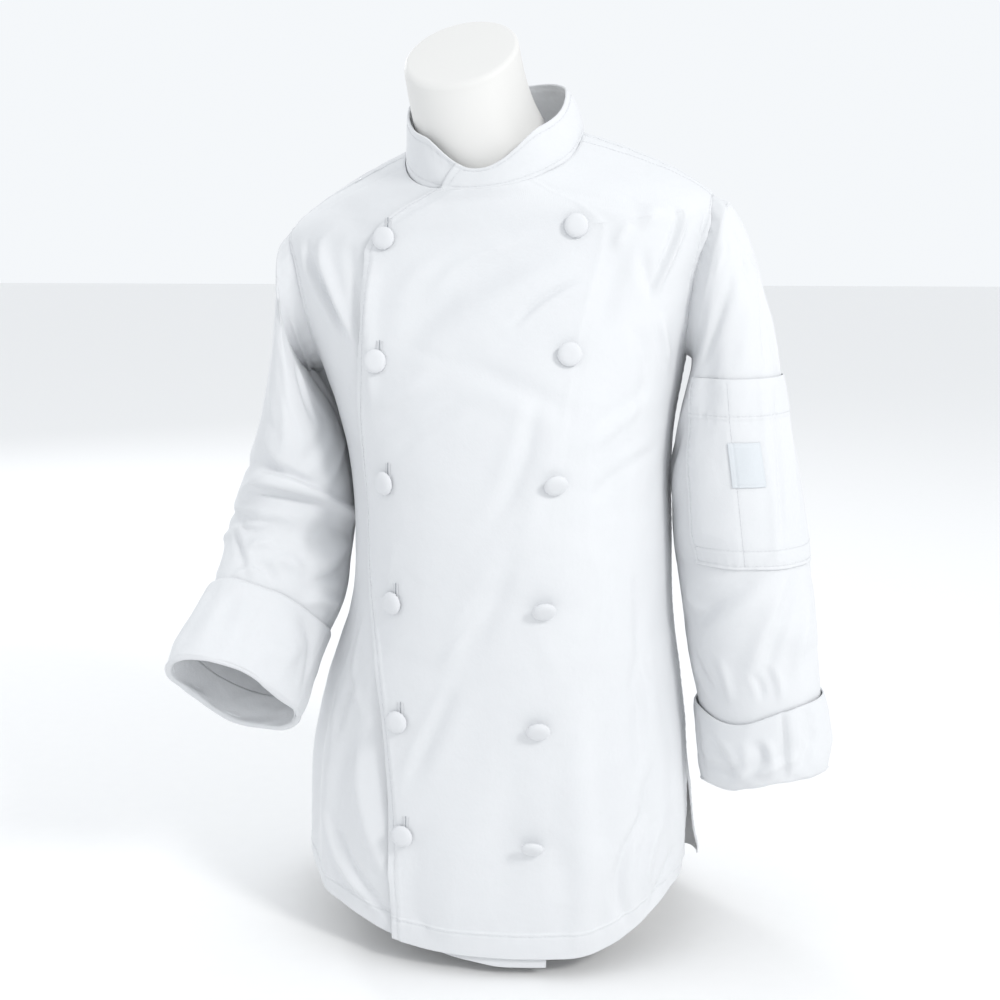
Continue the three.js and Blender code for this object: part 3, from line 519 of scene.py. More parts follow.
def cloth_shell(name, points, normals, thickness, u, v, closed=False):
    """Thin closed shell whose outside is a grid of points; thickness is a number or a grid.

    Free edges get a rounded rim: one row of points half way through, pushed out past the edge.
    """
    rows, columns = points.shape[:2]
    thickness = np.broadcast_to(thickness, (rows, columns))[..., None]
    inner = points - normals * thickness
    middle = (points + inner) / 2
    places = np.stack([u, v], -1)
    if closed:
        wrap = np.arange(columns + 1) % columns
        seam_u = np.concatenate([u, 2 * u[:, -1:] - u[:, -2:-1]], 1)
        seam_v = np.concatenate([v, v[:, :1]], 1)
        points, inner, middle = points[:, wrap], inner[:, wrap], middle[:, wrap]
        thickness = thickness[:, wrap]
        places = np.stack([seam_u, seam_v], -1)
        columns += 1
    count = rows * columns
    index = np.arange(count).reshape(rows, columns)
    vertices = [points.reshape(-1, 3), inner.reshape(-1, 3)]
    all_places = [places.reshape(-1, 2), places.reshape(-1, 2)]
    faces = []
    for offset, flip in ((0, False), (count, True)):
        a = index[:-1, :-1] + offset
        b = index[:-1, 1:] + offset
        c = index[1:, 1:] + offset
        d = index[1:, :-1] + offset
        order = (a, d, c, b) if flip else (a, b, c, d)
        faces.append(np.stack(order, -1).reshape(-1, 4))
    first_edge = (index[0], middle[0], points[0] - points[1])
    last_edge = (index[-1][::-1], middle[-1][::-1], (points[-1] - points[-2])[::-1])
    edges = [first_edge, last_edge]
    if not closed:
        edges.append((index[::-1, 0], middle[::-1, 0], (points[:, 0] - points[:, 1])[::-1]))
        edges.append((index[:, -1], middle[:, -1], points[:, -1] - points[:, -2]))
    base = 2 * count
    for line, rim, away in edges:
        away = away / np.maximum(np.linalg.norm(away, axis=-1, keepdims=True), 1e-9)
        half = thickness.reshape(-1, 1)[line] / 2
        vertices.append(rim + away * half * 0.8)
        all_places.append(places.reshape(-1, 2)[line])
        ring = base + np.arange(len(line))
        faces.append(strip_faces(ring, line))
        faces.append(strip_faces(line + count, ring))
        base += len(line)
    vertices = np.concatenate(vertices)
    faces = np.concatenate(faces)
    piece = make_mesh(name, vertices, faces, np.concatenate(all_places))
    if closed:
        weld(piece)
    return piece


def weld(piece):
    """Joins the doubled points of a tube's seam; its cloth coordinates stay split there."""
    import bmesh

    mesh = bmesh.new()
    mesh.from_mesh(piece.data)
    bmesh.ops.remove_doubles(mesh, verts=mesh.verts, dist=1e-6)
    mesh.to_mesh(piece.data)
    mesh.free()


def even_levels(spacing, fine_rows=()):
    """Levels of the body's rows, evenly spaced along its side, with more where given."""
    fine = np.linspace(0, NECK_LEVEL, 1500)
    side = body_point(np.zeros(fine.size), fine)
    front = body_point(np.full(fine.size, -60 * DEGREE), fine)
    side_step = np.linalg.norm(np.diff(side, axis=0), axis=1)
    front_step = np.linalg.norm(np.diff(front, axis=0), axis=1)
    step = np.maximum(side_step, front_step)
    run = np.concatenate([[0], np.cumsum(step)])
    levels = np.interp(np.linspace(0, run[-1], int(run[-1] / spacing)), run, fine)
    near = np.interp(np.array(fine_rows, float), run, fine)
    turn = (1 - np.cos(np.linspace(0, math.pi, 70))) / 2
    arm = mix(ARMHOLE_LOW_LEVEL, ARMHOLE_TOP_LEVEL, turn)
    every = np.unique(np.round(np.concatenate([levels, near, arm]), 4))
    return every


class Sheet:
    """A grid of cloth: rows of one parameter, columns of another, and the points that show."""

    def __init__(self, points, normals, u, v, row_values, fraction_of):
        self.points, self.normals, self.u, self.v = points, normals, u, v
        self.row_values, self.fraction_of = row_values, fraction_of

    def at(self, across, along):
        """Points and normals at places on the cloth, read between the grid's own."""
        i = np.interp(along, self.row_values, np.arange(len(self.row_values)))
        j = self.fraction_of(across, along)
        rows, columns = self.points.shape[:2]
        i0 = np.clip(np.floor(i).astype(int), 0, rows - 2)
        j0 = np.clip(np.floor(j).astype(int), 0, columns - 2)
        s, t = (i - i0)[:, None], (j - j0)[:, None]
        found = []
        for grid in (self.points, self.normals):
            low = mix(grid[i0, j0], grid[i0, j0 + 1], t)
            high = mix(grid[i0 + 1, j0], grid[i0 + 1, j0 + 1], t)
            found.append(mix(low, high, s))
        return found


def graded(width, fine, coarse, zones):
    """Fractions from 0 to 1 along a width in mm, closely spaced inside the zones given in mm."""
    place, places = 0.0, [0.0]
    while place < width - 0.3 * fine:
        near = any(low - 1 <= place < high for low, high in zones)
        place = min(place + (fine if near else coarse), width)
        places.append(place)
    return np.array(places) / width


def grid_normals(points, closed=False):
    """Outward directions of a grid from its own points."""
    if closed:
        across = np.roll(points, -1, 1) - np.roll(points, 1, 1)
    else:
        across = np.gradient(points, axis=1)
    along = np.gradient(points, axis=0)
    normal = np.cross(across, along)
    return normal / np.maximum(np.linalg.norm(normal, axis=-1, keepdims=True), 1e-9)


def stitch_groove(distance, depth=0.4, width=1.3):
    return -depth * np.exp(-((distance / width) ** 2))


def pucker(run, distance, seed, depth=0.35, reach=7, wave=11):
    """Short ripples that a row of stitches draws into the cloth on both sides."""
    rng = np.random.default_rng(seed)
    height = np.zeros(np.shape(run))
    for share in (1.0, 0.55, 0.35):
        length = wave * share * rng.uniform(0.9, 1.15)
        sway = 1.4 * np.sin(run / 37 + seed)
        height += share * np.sin(2 * math.pi * run / length + rng.uniform(0, 6) + sway)
    return depth * 0.6 * height * np.exp(-((distance / reach) ** 2))


# Rows of stitches, kept for the thread that is laid on them later
stitch_rows = []

STITCH_PITCH = 3.4
STITCH_LENGTH = 2.7
THREAD_RADIUS = 0.26


def add_stitches(group, points, normals):
    stitch_rows.append((group, points, normals))


def body_panel(name, from_edge, to_edge, width, zones, relief, drop, hem_lift, thickness):
    """Panel of the body between two edges given as functions of the level."""
    levels = even_levels(3.0, HEM_ROWS)
    fractions = graded(width, 1.1, 3.0, zones)
    level = np.repeat(levels[:, None], fractions.size, 1)
    start, end = from_edge(levels)[:, None], to_edge(levels)[:, None]
    angle = mix(start, end, fractions[None, :])
    base = body_point(angle, level)
    normal = body_normal(angle, level)
    u, v = girth_of(angle), base[..., 2]
    height = relief(angle, level, u, v) - drop(angle, level, base)
    points = base + normal * height[..., None]
    points[..., 2] += hem_lift(u) * bump(level, 1)
    normal = grid_normals(points)

    def fraction_of(across, along):
        share = (across - from_edge(along)) / (to_edge(along) - from_edge(along))
        return np.interp(share, fractions, np.arange(fractions.size))

    sheet = Sheet(points, normal, u, v, levels, fraction_of)
    piece = cloth_shell(name, points, normal, thickness, u, v)
    return piece, sheet


HEM_BAND = 24
HEM_STITCH = 21.5
HEM_ROWS = tuple(np.concatenate([np.arange(0.7, 4, 0.8), np.arange(17, 28, 0.9)]))
EDGE_STITCH = 5.5
LEVEL_MM = np.linspace(0, NECK_LEVEL, 400)
FRONT_RUN = np.concatenate(
    [[0], np.cumsum(np.linalg.norm(np.diff(body_point(np.full(400, -60 * DEGREE), LEVEL_MM), axis=0), axis=1))]
)


def above_hem(level):
    """Distance up the cloth from the hem, in mm."""
    return np.interp(level, LEVEL_MM, FRONT_RUN)


def level_above_hem(distance):
    return np.interp(distance, FRONT_RUN, LEVEL_MM)


def hem_relief(level, u, seed):
    d = above_hem(level)
    band = 0.7 * (1 - smooth(HEM_BAND - 0.5, HEM_BAND + 1.5, d))
    return band + stitch_groove(d - HEM_STITCH) + pucker(u, d - HEM_STITCH, seed, 0.35, 9, 13)


def seam_relief(distance, run, seed):
    """A lapped seam: a step at the edge, and its stitch line beside it."""
    band = 0.55 * (1 - smooth(7.5, 9.5, distance))
    return band + stitch_groove(distance - 6.5) + pucker(run, distance - 4, seed, 0.3, 7, 9)


def armhole_reach(angle):
    """The armhole's widest angle on the quarter of the body where this angle is."""
    left = np.where(np.sin(angle) < 0, ARMHOLE_LEFT_FRONT, ARMHOLE_LEFT_BACK)
    right = np.where(np.sin(angle) < 0, ARMHOLE_RIGHT_FRONT, ARMHOLE_RIGHT_BACK)
    return np.where(np.cos(angle) > 0, left, right)


def side_distance(angle, level):
    """Distance in mm from the side seam, the vent or the armhole's edge along the girth."""
    edge = side_edge(level, armhole_reach(angle))
    radius = body_column("half_width", level)
    turned = np.minimum(np.abs(angle), np.abs(np.abs(angle) - math.pi))
    return (turned - edge) * radius


def no_drop(angle, level, base):
    return np.zeros(np.shape(angle))


def over_lift(u):
    return OVER_HEM_LIFT


def under_lift(u):
    """The under front's corner alone hangs below the over front's hem."""
    return 10.5 * (1 - smooth(-40, 26, u))


def no_lift(u):
    return 0.0


def side_edge(level, widest):
    return armhole_angle(level, widest) + vent_angle(level)


SEAM_TUCK = 6


def back_tuck(level):
    """The back runs a little way under the fronts, but not at the vents or the armholes."""
    free = smooth(VENT_TOP_LEVEL - 0.1, VENT_TOP_LEVEL + 0.25, level)
    return SEAM_TUCK * free / body_column("half_width", level)


def back_drop(angle, level, base):
    past = -side_distance(angle, level)
    flare = VENT_FLARE * bump(np.arcsin(np.sin(angle)), VENT_FLARE_ANGLE) * (1 - smooth(0, VENT_TOP_LEVEL, level))
    return 1.5 * smooth(-2.0, 1.5, past) - flare


def body_relief(seed, rows):
    def relief(angle, level, u, v):
        side = side_distance(angle, level)
        height = creases(u, v, rows)
        height += ripple(u, v, seed, 150, 9, 0.7, 0.5)
        height += ripple(u, v, seed + 1, 260, 4.5, 0.28, 0.5, 0.9)
        height += hem_relief(level, u, seed + 2)
        height += np.where(side > -0.5, seam_relief(np.maximum(side, 0), v, seed + 3), 0)
        return height

    return relief


def over_relief(angle, level, u, v):
    height = body_relief(11, FRONT_CREASES)(angle, level, u, v)
    edge = free_edge_distance(angle, level, -1)
    height += 0.5 * (1 - smooth(9, 12, edge)) + stitch_groove(edge - EDGE_STITCH)
    height += pucker(v, edge - EDGE_STITCH, 15, 0.3, 7, 10)
    facing = u - facing_girth(v)
    shows = smooth(330, 500, v)
    height += shows * (0.6 * np.exp(-((facing / 2.6) ** 2)) - 0.25 * np.exp(-(((facing - 5) / 4) ** 2)))
    return height


def facing_girth(v):
    """The pressed edge of the facing shows through as a faint line right of the left buttons."""
    return 81 - 0.09 * (608 - v)


def under_relief(angle, level, u, v):
    return body_relief(21, FRONT_CREASES)(angle, level, u, v)


def back_relief(angle, level, u, v):
    return body_relief(31, BACK_CREASES)(angle, level, u, v)


def free_edge_distance(angle, level, side):
    """Distance in mm from the over front's free edge, along the girth and along the slanted top."""
    edge = front_angle(side * over_edge_x(level), level)
    return np.abs(angle - edge) * GIRTH_RADIUS


def lap_drop(angle, level, base):
    edge = -over_edge_x(level)
    drop = mix(LAP_DROP, LAP_NECK_DROP, smooth(NECK_LEVEL - 5, NECK_LEVEL - 2, level))
    seam = smooth(0.05, 0.6, angle + math.pi) + (1 - smooth(10.2, 10.8, level))
    return drop * np.minimum(seam, 1) * smooth(edge - LAP_SLOPE_FROM, edge - LAP_SLOPE_TO, base[..., 0])


def over_from(level):
    return front_angle(-over_edge_x(level), level)


def over_to(level):
    return -side_edge(level, ARMHOLE_LEFT_FRONT)


def under_from(level):
    return -math.pi + side_edge(level, ARMHOLE_RIGHT_FRONT)


def under_to(level):
    return front_angle(over_edge_x(level), level)


def back_left_edge(level):
    return side_edge(level, ARMHOLE_LEFT_BACK)


def back_right_edge(level):
    return math.pi - side_edge(level, ARMHOLE_RIGHT_BACK)


def back_from(level):
    return back_left_edge(level) - back_tuck(level)


def back_to(level):
    return back_right_edge(level) + back_tuck(level)


EDGE_ZONES_OVER = ((0, 13), (335, 360))
EDGE_ZONES_UNDER = ((0, 13), (340, 360))
EDGE_ZONES_BACK = ((0, 14), (486, 500))

front_over, over_sheet = body_panel(
    "front_over_cloth", over_from, over_to, 350, EDGE_ZONES_OVER, over_relief, no_drop, over_lift, CLOTH
)
front_under, under_sheet = body_panel(
    "front_under_cloth", under_from, under_to, 350, EDGE_ZONES_UNDER, under_relief, lap_drop, under_lift, CLOTH
)
back, back_sheet = body_panel(
    "back_cloth", back_from, back_to, 500, EDGE_ZONES_BACK, back_relief, back_drop, no_lift, CLOTH
)


def line(start, end, count=400):
    return np.linspace(start, end, count)


def stitch_panel(group, sheet, angle_of, levels):
    points, normals = sheet.at(angle_of(levels), levels)
    add_stitches(group, points, normals)


def at_distance(edge, distance, way):
    """Angle of a line that runs a distance in mm beside an edge."""
    return lambda level: edge(level) + way * distance / body_column("half_width", level)


straight_levels = line(level_above_hem(2), OVER_CORNER_LEVEL - 0.12)
top_levels = line(OVER_CORNER_LEVEL - 0.12, NECK_LEVEL - 0.1, 300)
stitch_panel("over", over_sheet, lambda level: over_from(level) + EDGE_STITCH / GIRTH_RADIUS, straight_levels)
stitch_panel("over", over_sheet, lambda level: over_from(level) + EDGE_STITCH / GIRTH_RADIUS, top_levels)


def hem_line(group, sheet, from_edge, to_edge):
    level = np.full(500, float(level_above_hem(HEM_STITCH)))
    angle = mix(from_edge(level), to_edge(level), line(0.015, 0.985, 500))
    points, normals = sheet.at(angle, level)
    add_stitches(group, points, normals)


hem_line("over", over_sheet, over_from, over_to)
hem_line("under", under_sheet, under_from, under_to)
hem_line("back", back_sheet, back_from, back_to)
for group, sheet, edge, way in (
    ("over", over_sheet, over_to, -1),
    ("under", under_sheet, under_from, 1),
    ("back", back_sheet, back_left_edge, 1),
    ("back", back_sheet, back_right_edge, -1),
):
    stitch_panel(group, sheet, at_distance(edge, 6.5, way), line(level_above_hem(3), ARMHOLE_LOW_LEVEL))
    stitch_panel(group, sheet, at_distance(edge, 6.5, way), line(ARMHOLE_LOW_LEVEL, ARMHOLE_TOP_LEVEL, 300))
    stitch_panel(group, sheet, at_distance(edge, 6.5, way), line(ARMHOLE_TOP_LEVEL, NECK_LEVEL - 0.1, 300))


# Collar band
COLLAR_SIDE_HEIGHT = 37
COLLAR_FRONT_HEIGHT = 15
COLLAR_LEAN = 0.5
COLLAR_LEFT_LEAN = 20
COLLAR_RISE_TURN = 40
COLLAR_LAP = 3.6
COLLAR_END_SLANT = 13
COLLAR_SEAT = 0.5
SEAM_GAP = 0.3


def collar_point(t, up):
    """Points of the band: t runs from the over end round to the under end, up from seam to top."""
    t, up = np.broadcast_arrays(t, up)
    end_x = COLLAR_END_X - 2 - COLLAR_END_SLANT * up
    neck = np.full(t.shape, float(NECK_LEVEL))
    angle = mix(front_angle(end_x, neck), front_angle(-end_x, neck) - 2 * math.pi, t)
    seam = body_point(angle, neck)
    centre = np.zeros(seam.shape)
    centre[..., 1] = body_column("middle_y", neck)
    centre[..., 2] = seam[..., 2]
    out = seam - centre
    out /= np.linalg.norm(out, axis=-1, keepdims=True)
    backness = smooth(-1, 1, np.sin(angle))
    rise = smooth(0, COLLAR_RISE_TURN, np.abs(turn_between(angle / DEGREE, -90)))
    height = mix(COLLAR_FRONT_HEIGHT, COLLAR_SIDE_HEIGHT, rise)
    lap = COLLAR_LAP * (1 - smooth(0.18, 0.3, t))
    lean = COLLAR_LEAN + COLLAR_LEFT_LEAN * smooth(0, 1, np.cos(angle))
    inward = SEAM_GAP + lap + lean * up * np.abs(up) * mix(0.3, 1, backness)
    wave = 0.9 * np.sin(9.0 * t + 1.0) * up + 0.5 * np.sin(23.0 * t) * up
    point = seam + out * (wave - inward)[..., None]
    point[..., 2] += height * up + COLLAR_SEAT
    return point


def collar_band():
    rows = np.concatenate([np.linspace(-0.12, 0.12, 8), np.linspace(0.16, 0.84, 14), np.linspace(0.87, 1, 8)])
    columns = graded(430, 1.2, 2.6, ((0, 10), (418, 430)))
    t = np.repeat((1 - columns)[None, :], rows.size, 0)
    up = np.repeat(rows[:, None], columns.size, 1)
    points = collar_point(t, up)
    normal = grid_normals(points)
    u, v = t * 430, up * 34
    height = stitch_groove(v - 29.5, 0.35) + stitch_groove(v - 3, 0.35)
    height += stitch_groove(np.minimum(u, 430 - u) - 4.5, 0.35) + ripple(u, v, 41, 60, 6, 0.5, 0.2)
    height += pucker(u, v - 29, 42, 0.3, 6, 9) + pucker(u, v - 3, 43, 0.3, 6, 9)
    points = points + normal * height[..., None]
    normal = grid_normals(points)
    piece = cloth_shell("collar_cloth", points, normal, FOLDED_CLOTH, u, v)

    def fraction_of(across, along):
        return np.interp(1 - across, columns, np.arange(columns.size))

    sheet = Sheet(points, normal, u, v, rows, fraction_of)
    for up_at in (0.87, 0.09):
        ends = line(0.985, 0.015, 500)
        add_stitches("collar", *sheet.at(ends, np.full(500, up_at)))
    for end in (0.011, 0.989):
        add_stitches("collar", *sheet.at(np.full(60, end), line(0.12, 0.85, 60)))
    return piece


collar = collar_band()


# Sleeves
class Sleeve:
    """Surface of one sleeve: around is in degrees from its outer side towards the front, at counts rings."""

    def __init__(self, side, rings, wide_folds, seed):
        self.side, self.rings, self.wide_folds = side, rings, wide_folds
        self.rows, self.seed = (), seed
        self.last = len(rings)
        places = np.linspace(0, self.last, 300)
        middle = self.middle(np.maximum(places - 1, 0))
        run = np.cumsum(np.linalg.norm(np.diff(middle, axis=0), axis=1))
        self.places, self.runs = places, np.concatenate([[0], run])
        self.runs += np.minimum(places, 1) * 40

    def ring(self, name, at):
        return column(self.rings, SLEEVE_COLUMNS, name, at)

    def middle(self, at):
        return np.stack([self.side * self.ring("x", at), self.ring("y", at), self.ring("z", at)], -1)

    def run(self, at):
        """Distance along the sleeve, in mm from the shoulder."""
        return np.interp(at, self.places, self.runs)

    def at_run(self, run):
        return np.interp(run, self.runs, self.places)

    def armhole(self, around):
        middle = (ARMHOLE_LOW_LEVEL + ARMHOLE_TOP_LEVEL) / 2
        reach = (ARMHOLE_TOP_LEVEL - ARMHOLE_LOW_LEVEL) / 2
        level = middle + reach * 0.995 * np.cos(around)
        reaches = (ARMHOLE_RIGHT_FRONT, ARMHOLE_RIGHT_BACK)
        if self.side > 0:
            reaches = (ARMHOLE_LEFT_FRONT, ARMHOLE_LEFT_BACK)
        widest = np.where(np.sin(around) > 0, *reaches)
        turn = -(armhole_angle(level, widest) - 0.003) * np.sign(np.sin(around))
        turn = np.where(np.abs(np.sin(around)) < 1e-6, 0, turn)
        angle = turn if self.side > 0 else math.pi - turn
        return angle, level

    def base(self, around, at):
        around, at = np.broadcast_arrays(np.asarray(around, float), np.asarray(at, float))
        turn = around * DEGREE
        row = np.maximum(at - 1, 0)
        lean, swing = self.ring("lean", row) * DEGREE, self.ring("swing", row) * DEGREE
        flat = np.cos(lean)
        outer = np.stack([self.side * np.sin(lean), -flat * np.sin(swing), flat * np.cos(swing)], -1)
        front = np.stack([np.zeros(at.shape), -np.cos(swing), np.sin(swing)], -1)
        out = np.zeros(at.shape)
        for fold_around, ring, width, reach, depth in self.wide_folds:
            out += depth * bump(turn_between(around, fold_around), width) * bump(at - ring, reach)
        point = self.middle(row)
        point = point + outer * ((self.ring("half", row) + out) * np.cos(turn))[..., None]
        point = point + front * ((self.ring("depth", row) + out) * np.sin(turn))[..., None]
        tilted(point)
        edge = body_point(*self.armhole(turn))
        near = np.clip(1 - at, 0, 1)[..., None]
        return mix(point, edge, near)

    def normal(self, around, at):
        place = np.clip(at, 0.05, self.last - 0.05)
        return outward(self.base, around, place, 2.3, 0.04) * self.side

    def height(self, around, at):
        v = self.run(at)
        height = np.zeros(np.shape(v))
        for turn in (-360, 0, 360):
            height += creases(around + turn, v, self.rows)
        box = (-180, 180, 0, self.runs[-1])
        height += ripple(around, v, self.seed, 130, 8, 0.8, 0.6, 0.6, box)
        height += ripple(around, v, self.seed + 1, 220, 4, 0.3, 0.6, 0.9, box)
        head = smooth(0.0, 0.12, at) * (1 - smooth(0.25, 0.9, at))
        height += 0.3 * head * np.sin(around * DEGREE * 23 + 2 * np.sin(around * DEGREE * 5))
        seam = np.abs(turn_between(around, 180))
        height += 0.5 * np.exp(-((seam / 5) ** 2)) + stitch_groove(seam - 6, 0.3)
        return height * smooth(0.0, 0.1, at)

    def surface(self, around, at):
        return self.base(around, at) + self.normal(around, at) * self.height(around, at)[..., None]


LEFT_PHOTO_CREASES = (
    (741, 262, 722, 299, 700, 362, 9, -2.4, 0.2),
    (752, 292, 750, 330, 744, 366, 10, 1.8, 0),
    (764, 262, 766, 310, 770, 368, 6, -2.2, 0.3),
    (736, 236, 746, 252, 760, 276, 4, 1.6, 0.4),
    (724, 236, 720, 252, 712, 276, 3.5, 1.3, 0.3),
    (742, 240, 748, 262, 752, 284, 3, -1.3, 0.3),
    (774, 300, 780, 340, 786, 380, 6, 1.6, 0.3),
    (776, 396, 780, 460, 784, 540, 4, -1.8, 0.5),
    (788, 410, 794, 470, 802, 545, 5, 1.6, 0.2),
    (694, 618, 722, 598, 768, 568, 8, -3, 0.4),
    (700, 642, 735, 618, 776, 592, 9, 1.8, 0),
    (800, 574, 782, 630, 764, 684, 7, -2.6, 0.3),
    (784, 594, 764, 640, 744, 682, 8, 1.9, 0.2),
    (812, 600, 806, 640, 800, 684, 6, 1.8, 0.4),
    (692, 656, 700, 676, 712, 694, 5, -2.2, 0.3),
    (716, 660, 724, 682, 728, 702, 5, 1.6, 0.3),
    (752, 676, 758, 690, 760, 702, 3.5, -1.8, 0.3),
    (776, 668, 782, 684, 784, 700, 3.5, 1.7, 0.3),
    (684, 590, 690, 604, 700, 612, 6, 1.5, 0.3),
)
LEFT_CLOTH_CREASES = (
    (-40, 60, -20, 170, 8, -2, 6, 0.3),
    (-75, 90, -60, 200, 9, 1.8, -6, 0.2),
    (-120, 120, -95, 210, 8, -2, 8, 0.3),
    (-150, 150, -60, 190, 6, -1.8, 8, 0.5),
    (-150, 210, -50, 232, 7, 2.2, -8, 0.3),
    (-160, 240, -60, 268, 7, -2.2, 8, 0.4),
    (-140, 280, -30, 262, 8, 1.8, 8, 0.3),
    (-30, 300, 10, 380, 7, -1.8, 6, 0.3),
    (-100, 300, -60, 390, 8, -1.8, -6, 0.3),
    (-150, 330, -110, 400, 7, 1.6, 6, 0.2),
    (150, 120, 175, 210, 7, -1.8, 6, 0.3),
)
RIGHT_PHOTO_CREASES = (
    (292, 320, 304, 356, 334, 396, 4, 2.2, 0.5),
    (297, 362, 305, 390, 316, 420, 4, -1.7, 0.4),
    (306, 352, 322, 384, 344, 424, 3.5, -1.8, 0.4),
    (268, 330, 262, 380, 268, 430, 8, -1.3, 0.3),
    (280, 400, 284, 430, 276, 462, 7, 1.2, 0.3),
    (330, 424, 318, 448, 298, 470, 7, -1.6, 0.4),
    (346, 440, 340, 466, 322, 488, 6, 1.8, 0.3),
    (256, 440, 266, 462, 284, 478, 6, -1.1, 0.3),
    (247, 545, 261, 540, 276, 543, 6, 2.6, 0.2),
    (276, 556, 290, 560, 304, 572, 7, 3.4, 0.2),
    (231, 530, 238, 552, 248, 574, 4, -2.4, 0.4),
    (240, 520, 252, 528, 266, 526, 4, -2, 0.4),
    (258, 560, 270, 568, 276, 582, 4, -2.2, 0.3),
    (330, 566, 342, 552, 354, 543, 7, 2.6, 0.3),
    (318, 582, 334, 576, 350, 564, 5, -3.2, 0),
    (306, 602, 322, 600, 342, 604, 5, 3, 0),
    (232, 575, 246, 566, 262, 570, 4, 1.6, 0.3),
)
RIGHT_CLOTH_CREASES = (
    (52, 221, 139, 206, 9, 6, 9, 0),
    (137, 206, 192, 226, 8, 4.4, -2, 0),
    (56, 238, 146, 229, 9, -3.6, 10, 0),
    (70, 262, 120, 252, 14, 3.2, 6, 0),
    (128, 279, 174, 240, 12, -5.2, 10, 0),
    (-40, 60, -30, 150, 8, -2, 6, 0.3),
    (-90, 80, -70, 170, 9, 1.8, -6, 0.2),
    (-130, 110, -110, 190, 8, -2, 8, 0.3),
    (20, 80, 30, 190, 9, -1.4, -5, 0.2),
    (-20, 200, 50, 214, 5, -2.2, 5, 0.4),
    (-110, 200, -30, 210, 8, 2, 8, 0.3),
    (-150, 225, -70, 240, 8, -1.8, 8, 0.3),
    (-60, 250, 0, 262, 6, -1.8, -6, 0.4),
    (-20, 285, 45, 280, 5, 1.6, 6, 0.4),
    (10, 240, 60, 258, 5, -2, -5, 0.4),
    (-130, 270, -60, 300, 7, 1.6, 6, 0.3),
    (-40, 315, 30, 325, 5, -1.6, 4, 0.4),
)


def sleeve_in_photo(sleeve):
    around, at = np.meshgrid(np.linspace(-180, 180, 500), np.linspace(0, sleeve.last, 600))
    return PhotoPanel(sleeve.base(around, at), around, sleeve.run(at))


left = Sleeve(1, LEFT_SLEEVE_RINGS, LEFT_SLEEVE_WIDE_FOLDS, 51)
right = Sleeve(-1, RIGHT_SLEEVE_RINGS, RIGHT_SLEEVE_WIDE_FOLDS, 61)
left.rows = crease_rows(sleeve_in_photo(left), LEFT_PHOTO_CREASES, LEFT_CLOTH_CREASES, LEFT_CREASE_GAIN)
right.rows = crease_rows(sleeve_in_photo(right), RIGHT_PHOTO_CREASES, RIGHT_CLOTH_CREASES, RIGHT_CREASE_GAIN)
SLEEVE_COUNT = 150
ARMHOLE_TUCK = 0.02


def sleeve_tube(name, sleeve):
    around = -sleeve.side * np.arange(SLEEVE_COUNT) * (360 / SLEEVE_COUNT)
    around = turn_between(around, 0)
    runs = np.arange(sleeve.run(0.0) + 2.5, sleeve.run(sleeve.last - 0.12), 2.9)
    at = np.concatenate([[0.0], sleeve.at_run(runs), [sleeve.last - 0.12]])
    a, t = np.meshgrid(around, at)
    points = sleeve.surface(a, t)
    turn = a[:1] * DEGREE
    angle, level = sleeve.armhole(turn)
    under = body_point(angle, level) - 1.6 * body_normal(angle, level)
    middle = (ARMHOLE_LOW_LEVEL + ARMHOLE_TOP_LEVEL) / 2
    way = np.where(np.cos(angle) > 0, 1, -1) * np.sign(np.sin(angle))
    wider = body_point(angle + way * ARMHOLE_TUCK, level + ARMHOLE_TUCK * (level - middle))
    wider = wider - 1.8 * body_normal(angle, level)
    points = np.concatenate([wider, under, points[1:]])
    v = np.repeat(np.concatenate([[-6, -1], sleeve.run(at[1:])])[:, None], SLEEVE_COUNT, 1)
    u = np.repeat(-sleeve.side * np.arange(SLEEVE_COUNT)[None, :] * (360 / SLEEVE_COUNT), v.shape[0], 0)
    points, u, v = points[::-1], u[::-1], v[::-1]
    normals = grid_normals(points, closed=True)
    return cloth_shell(name, points, normals, CLOTH, u, v, closed=True)


sleeve_left = sleeve_tube("sleeve_left_cloth", left)
sleeve_right = sleeve_tube("sleeve_right_cloth", right)


